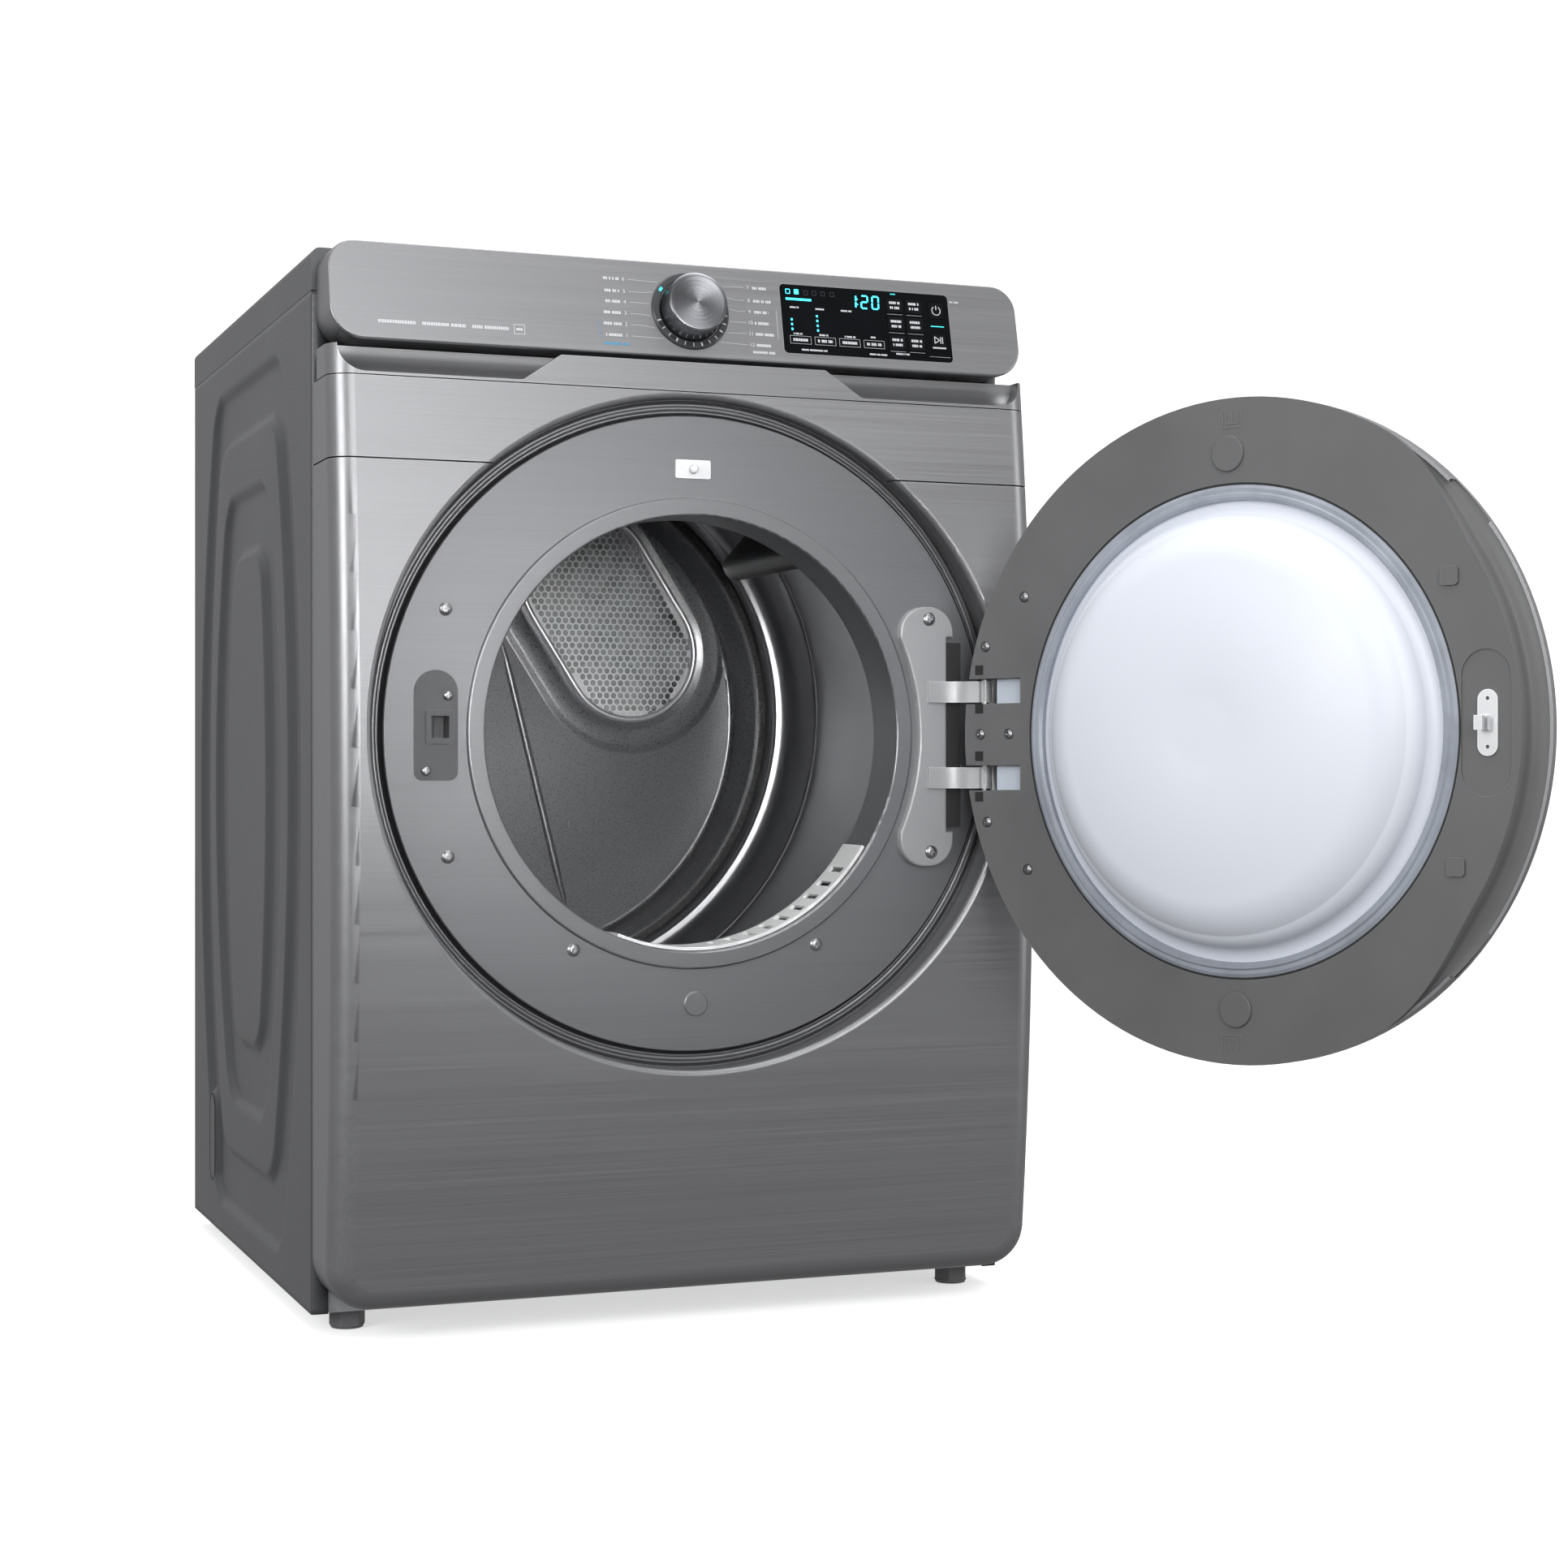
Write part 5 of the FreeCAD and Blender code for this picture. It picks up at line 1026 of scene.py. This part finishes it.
def make_drum_roll():
    """Rolled step that shows as a bright band. It turns with the drum."""
    turns = [math.radians(90 * i / ROLL_STEPS) for i in range(ROLL_STEPS + 1)]
    roll = [(ROLL_RADIUS - ROLL_RISE * (1 - math.cos(turn)), ROLL_FRONT + ROLL_LENGTH * math.sin(turn))
            for turn in turns]
    ring_round("drum_rear_roll", roll + ROLL_LIP, MATERIALS["drum_metal"], "drum", DRUM_Z)


def make_hinge_spacer():
    """Dark spacer behind the right edge of the hinge's leaf."""
    def place(a, b, height):
        return Vector((a, SURROUND_Y - height, b))
    spacer = Sheet(place, SPACER_THICKNESS)
    spacer.box(*SPACER)
    spacer.done("hinge_spacer", DARK_GAP, "cabinet")


def make_hinge_pocket_details():
    """Pale cover plates at the inner ends of the arm slots, and small dark clip holes."""
    for i, offset in enumerate(ARM_OFFSETS):
        cover = Sheet(lambda a, b, h: door_place(a, b, h - COVER_DEPTH), SHEET_THICKNESS)
        cover.box((COVER_ENDS[0], offset - COVER_HALF), (COVER_ENDS[1], offset + COVER_HALF))
        cover.done(f"slot_cover_{i + 1}", INSERT, "door")
    clips = Sheet(door_place, 0.00015)
    for offset in CLIP_OFFSETS:
        clips.box((CLIP_ENDS[0], offset - CLIP_HALF), (CLIP_ENDS[1], offset + CLIP_HALF))
    clips.done("clip_holes", DARK_GAP, "door")


# ---------------------------------------------------------------- room, light and camera
# Each light's place, target, size and power in watts. The softbox gives the front its falloff.
LIGHTS = {
    "softbox": ((-0.3, -4.4, 2.43), (-0.3, 0.0, 2.43), (2.3, 3.36), 80.0),
    "left": ((-3.0, -2.2, 1.5), (0.4, -0.6, 0.55), (1.6, 1.6), 56.0),
    "top": ((0.4, -0.2, 3.2), (0.1, 0.0, 0.5), (2.6, 2.6), 50.0),
    "right": ((2.8, -2.0, 1.0), (0.6, -0.7, 0.5), (1.0, 2.0), 18.0),
    "inside": ((-0.35, -2.1, 0.62), (0.08, 0.1, 0.56), (0.35, 0.35), 0.5),
}
# The inside light is a narrow beam through the door opening.
INSIDE_SPREAD = math.radians(19.0)
DOME_RADIUS = 18.0
FLOOR_HALF = 14.0
FLOOR_DROP = 0.0005
WHITE = (1.0, 1.0, 1.0, 1.0)
# Grey of the surroundings from straight down (0) to straight up (1).
WORLD_STOPS = [(0.0, 0.2), (0.38, 0.3), (0.5, 0.42), (0.62, 0.5), (0.8, 0.75)]
CAMERA_PLACE = (-0.832, -2.7535, 0.5023)
CAMERA_TURN = -21.36
CAMERA_LENS = 61.83
CAMERA_SENSOR = 36.0
CAMERA_SHIFT = -0.00305


def area_light(name, place, target, size, power):
    """Rectangular light at a place, turned to its target."""
    data = bpy.data.lights.new(name, "AREA")
    data.shape = "RECTANGLE"
    data.size, data.size_y = size
    data.energy = power
    lamp = bpy.data.objects.new(name, data)
    SCENE.collection.objects.link(lamp)
    lamp.location = place
    lamp.rotation_euler = (Vector(target) - Vector(place)).to_track_quat("-Z", "Y").to_euler()
    return data


def make_lights():
    for name, settings in LIGHTS.items():
        data = area_light(name, *settings)
        if name == "inside":
            data.spread = INSIDE_SPREAD


def make_dome():
    """White surround that only the camera sees, so that it adds no light."""
    shader = Shader("surround_white", (0.9, 0.9, 0.9), 0.0, 1.0)
    shader.set("Emission Color", WHITE)
    shader.set("Emission Strength", 0.95)
    mesh = bmesh.new()
    bmesh.ops.create_uvsphere(mesh, u_segments=48, v_segments=24, radius=DOME_RADIUS)
    data = bpy.data.meshes.new("surround_dome")
    mesh.to_mesh(data)
    mesh.free()
    dome = bpy.data.objects.new("surround_dome", data)
    SCENE.collection.objects.link(dome)
    data.materials.append(shader.material)
    dome.visible_diffuse = False
    dome.visible_glossy = False
    dome.visible_transmission = False
    dome.visible_volume_scatter = False
    dome.visible_shadow = False
    return dome


def make_room():
    """Pale floor and white dome."""
    shader = Shader("floor_paint", (0.86, 0.865, 0.87), 0.0, 0.7)
    cloud = shader.noise((0.8, 0.8, 0.8), detail=4.0)
    shader.colors(cloud, [(0.3, (0.84, 0.845, 0.85)), (0.7, (0.88, 0.885, 0.89))])
    shader.set("Emission Color", WHITE)
    shader.set("Emission Strength", 0.55)
    mesh = bpy.data.meshes.new("floor")
    half = FLOOR_HALF
    corners = [(-half, -half, 0), (half, -half, 0), (half, half, 0), (-half, half, 0)]
    mesh.from_pydata(corners, [], [(0, 1, 2, 3)])
    floor = bpy.data.objects.new("floor", mesh)
    floor.location.z = -FLOOR_DROP
    SCENE.collection.objects.link(floor)
    floor.data.materials.append(shader.material)
    floor.visible_glossy = False
    floor.visible_diffuse = False
    dome = make_dome()


def make_world():
    """Grey surroundings that get lighter upwards."""
    world = bpy.data.worlds.new("studio")
    SCENE.world = world
    world.use_nodes = True
    tree = world.node_tree
    tree.nodes.clear()
    coords = tree.nodes.new("ShaderNodeTexCoord").outputs["Generated"]
    split = tree.nodes.new("ShaderNodeSeparateXYZ")
    tree.links.new(coords, split.inputs[0])
    ramp = tree.nodes.new("ShaderNodeValToRGB")
    spread = tree.nodes.new("ShaderNodeMapRange")
    spread.inputs["From Min"].default_value = -1.0
    tree.links.new(split.outputs["Z"], spread.inputs["Value"])
    tree.links.new(spread.outputs[0], ramp.inputs["Fac"])
    while len(ramp.color_ramp.elements) < len(WORLD_STOPS):
        ramp.color_ramp.elements.new(0.5)
    for element, (place, value) in zip(ramp.color_ramp.elements, WORLD_STOPS):
        element.position = place
        element.color = (value, value, value * 1.01, 1)
    back = tree.nodes.new("ShaderNodeBackground")
    tree.links.new(ramp.outputs[0], back.inputs["Color"])
    back.inputs["Strength"].default_value = 1.0
    out = tree.nodes.new("ShaderNodeOutputWorld")
    tree.links.new(back.outputs[0], out.inputs["Surface"])


def make_camera():
    """Level camera at the photo's place."""
    data = bpy.data.cameras.new("camera")
    data.lens = CAMERA_LENS
    data.sensor_width = CAMERA_SENSOR
    data.shift_y = CAMERA_SHIFT
    data.clip_end = 100.0
    camera = bpy.data.objects.new("camera", data)
    SCENE.collection.objects.link(camera)
    camera.location = CAMERA_PLACE
    camera.rotation_euler = (math.radians(90.0), 0.0, math.radians(CAMERA_TURN))
    SCENE.camera = camera


make_cycle_marks()
make_display()
make_key_marks()
make_bezel_marks()
make_side_panel("side_panel_left", -1)
make_side_panel("side_panel_right", 1)
make_grille()
make_rear_wall()
make_grip_surface()
make_door_marks()
make_recess_lines()
make_drum_roll()
make_hinge_spacer()
make_hinge_pocket_details()
make_room()
make_world()
make_lights()
make_camera()
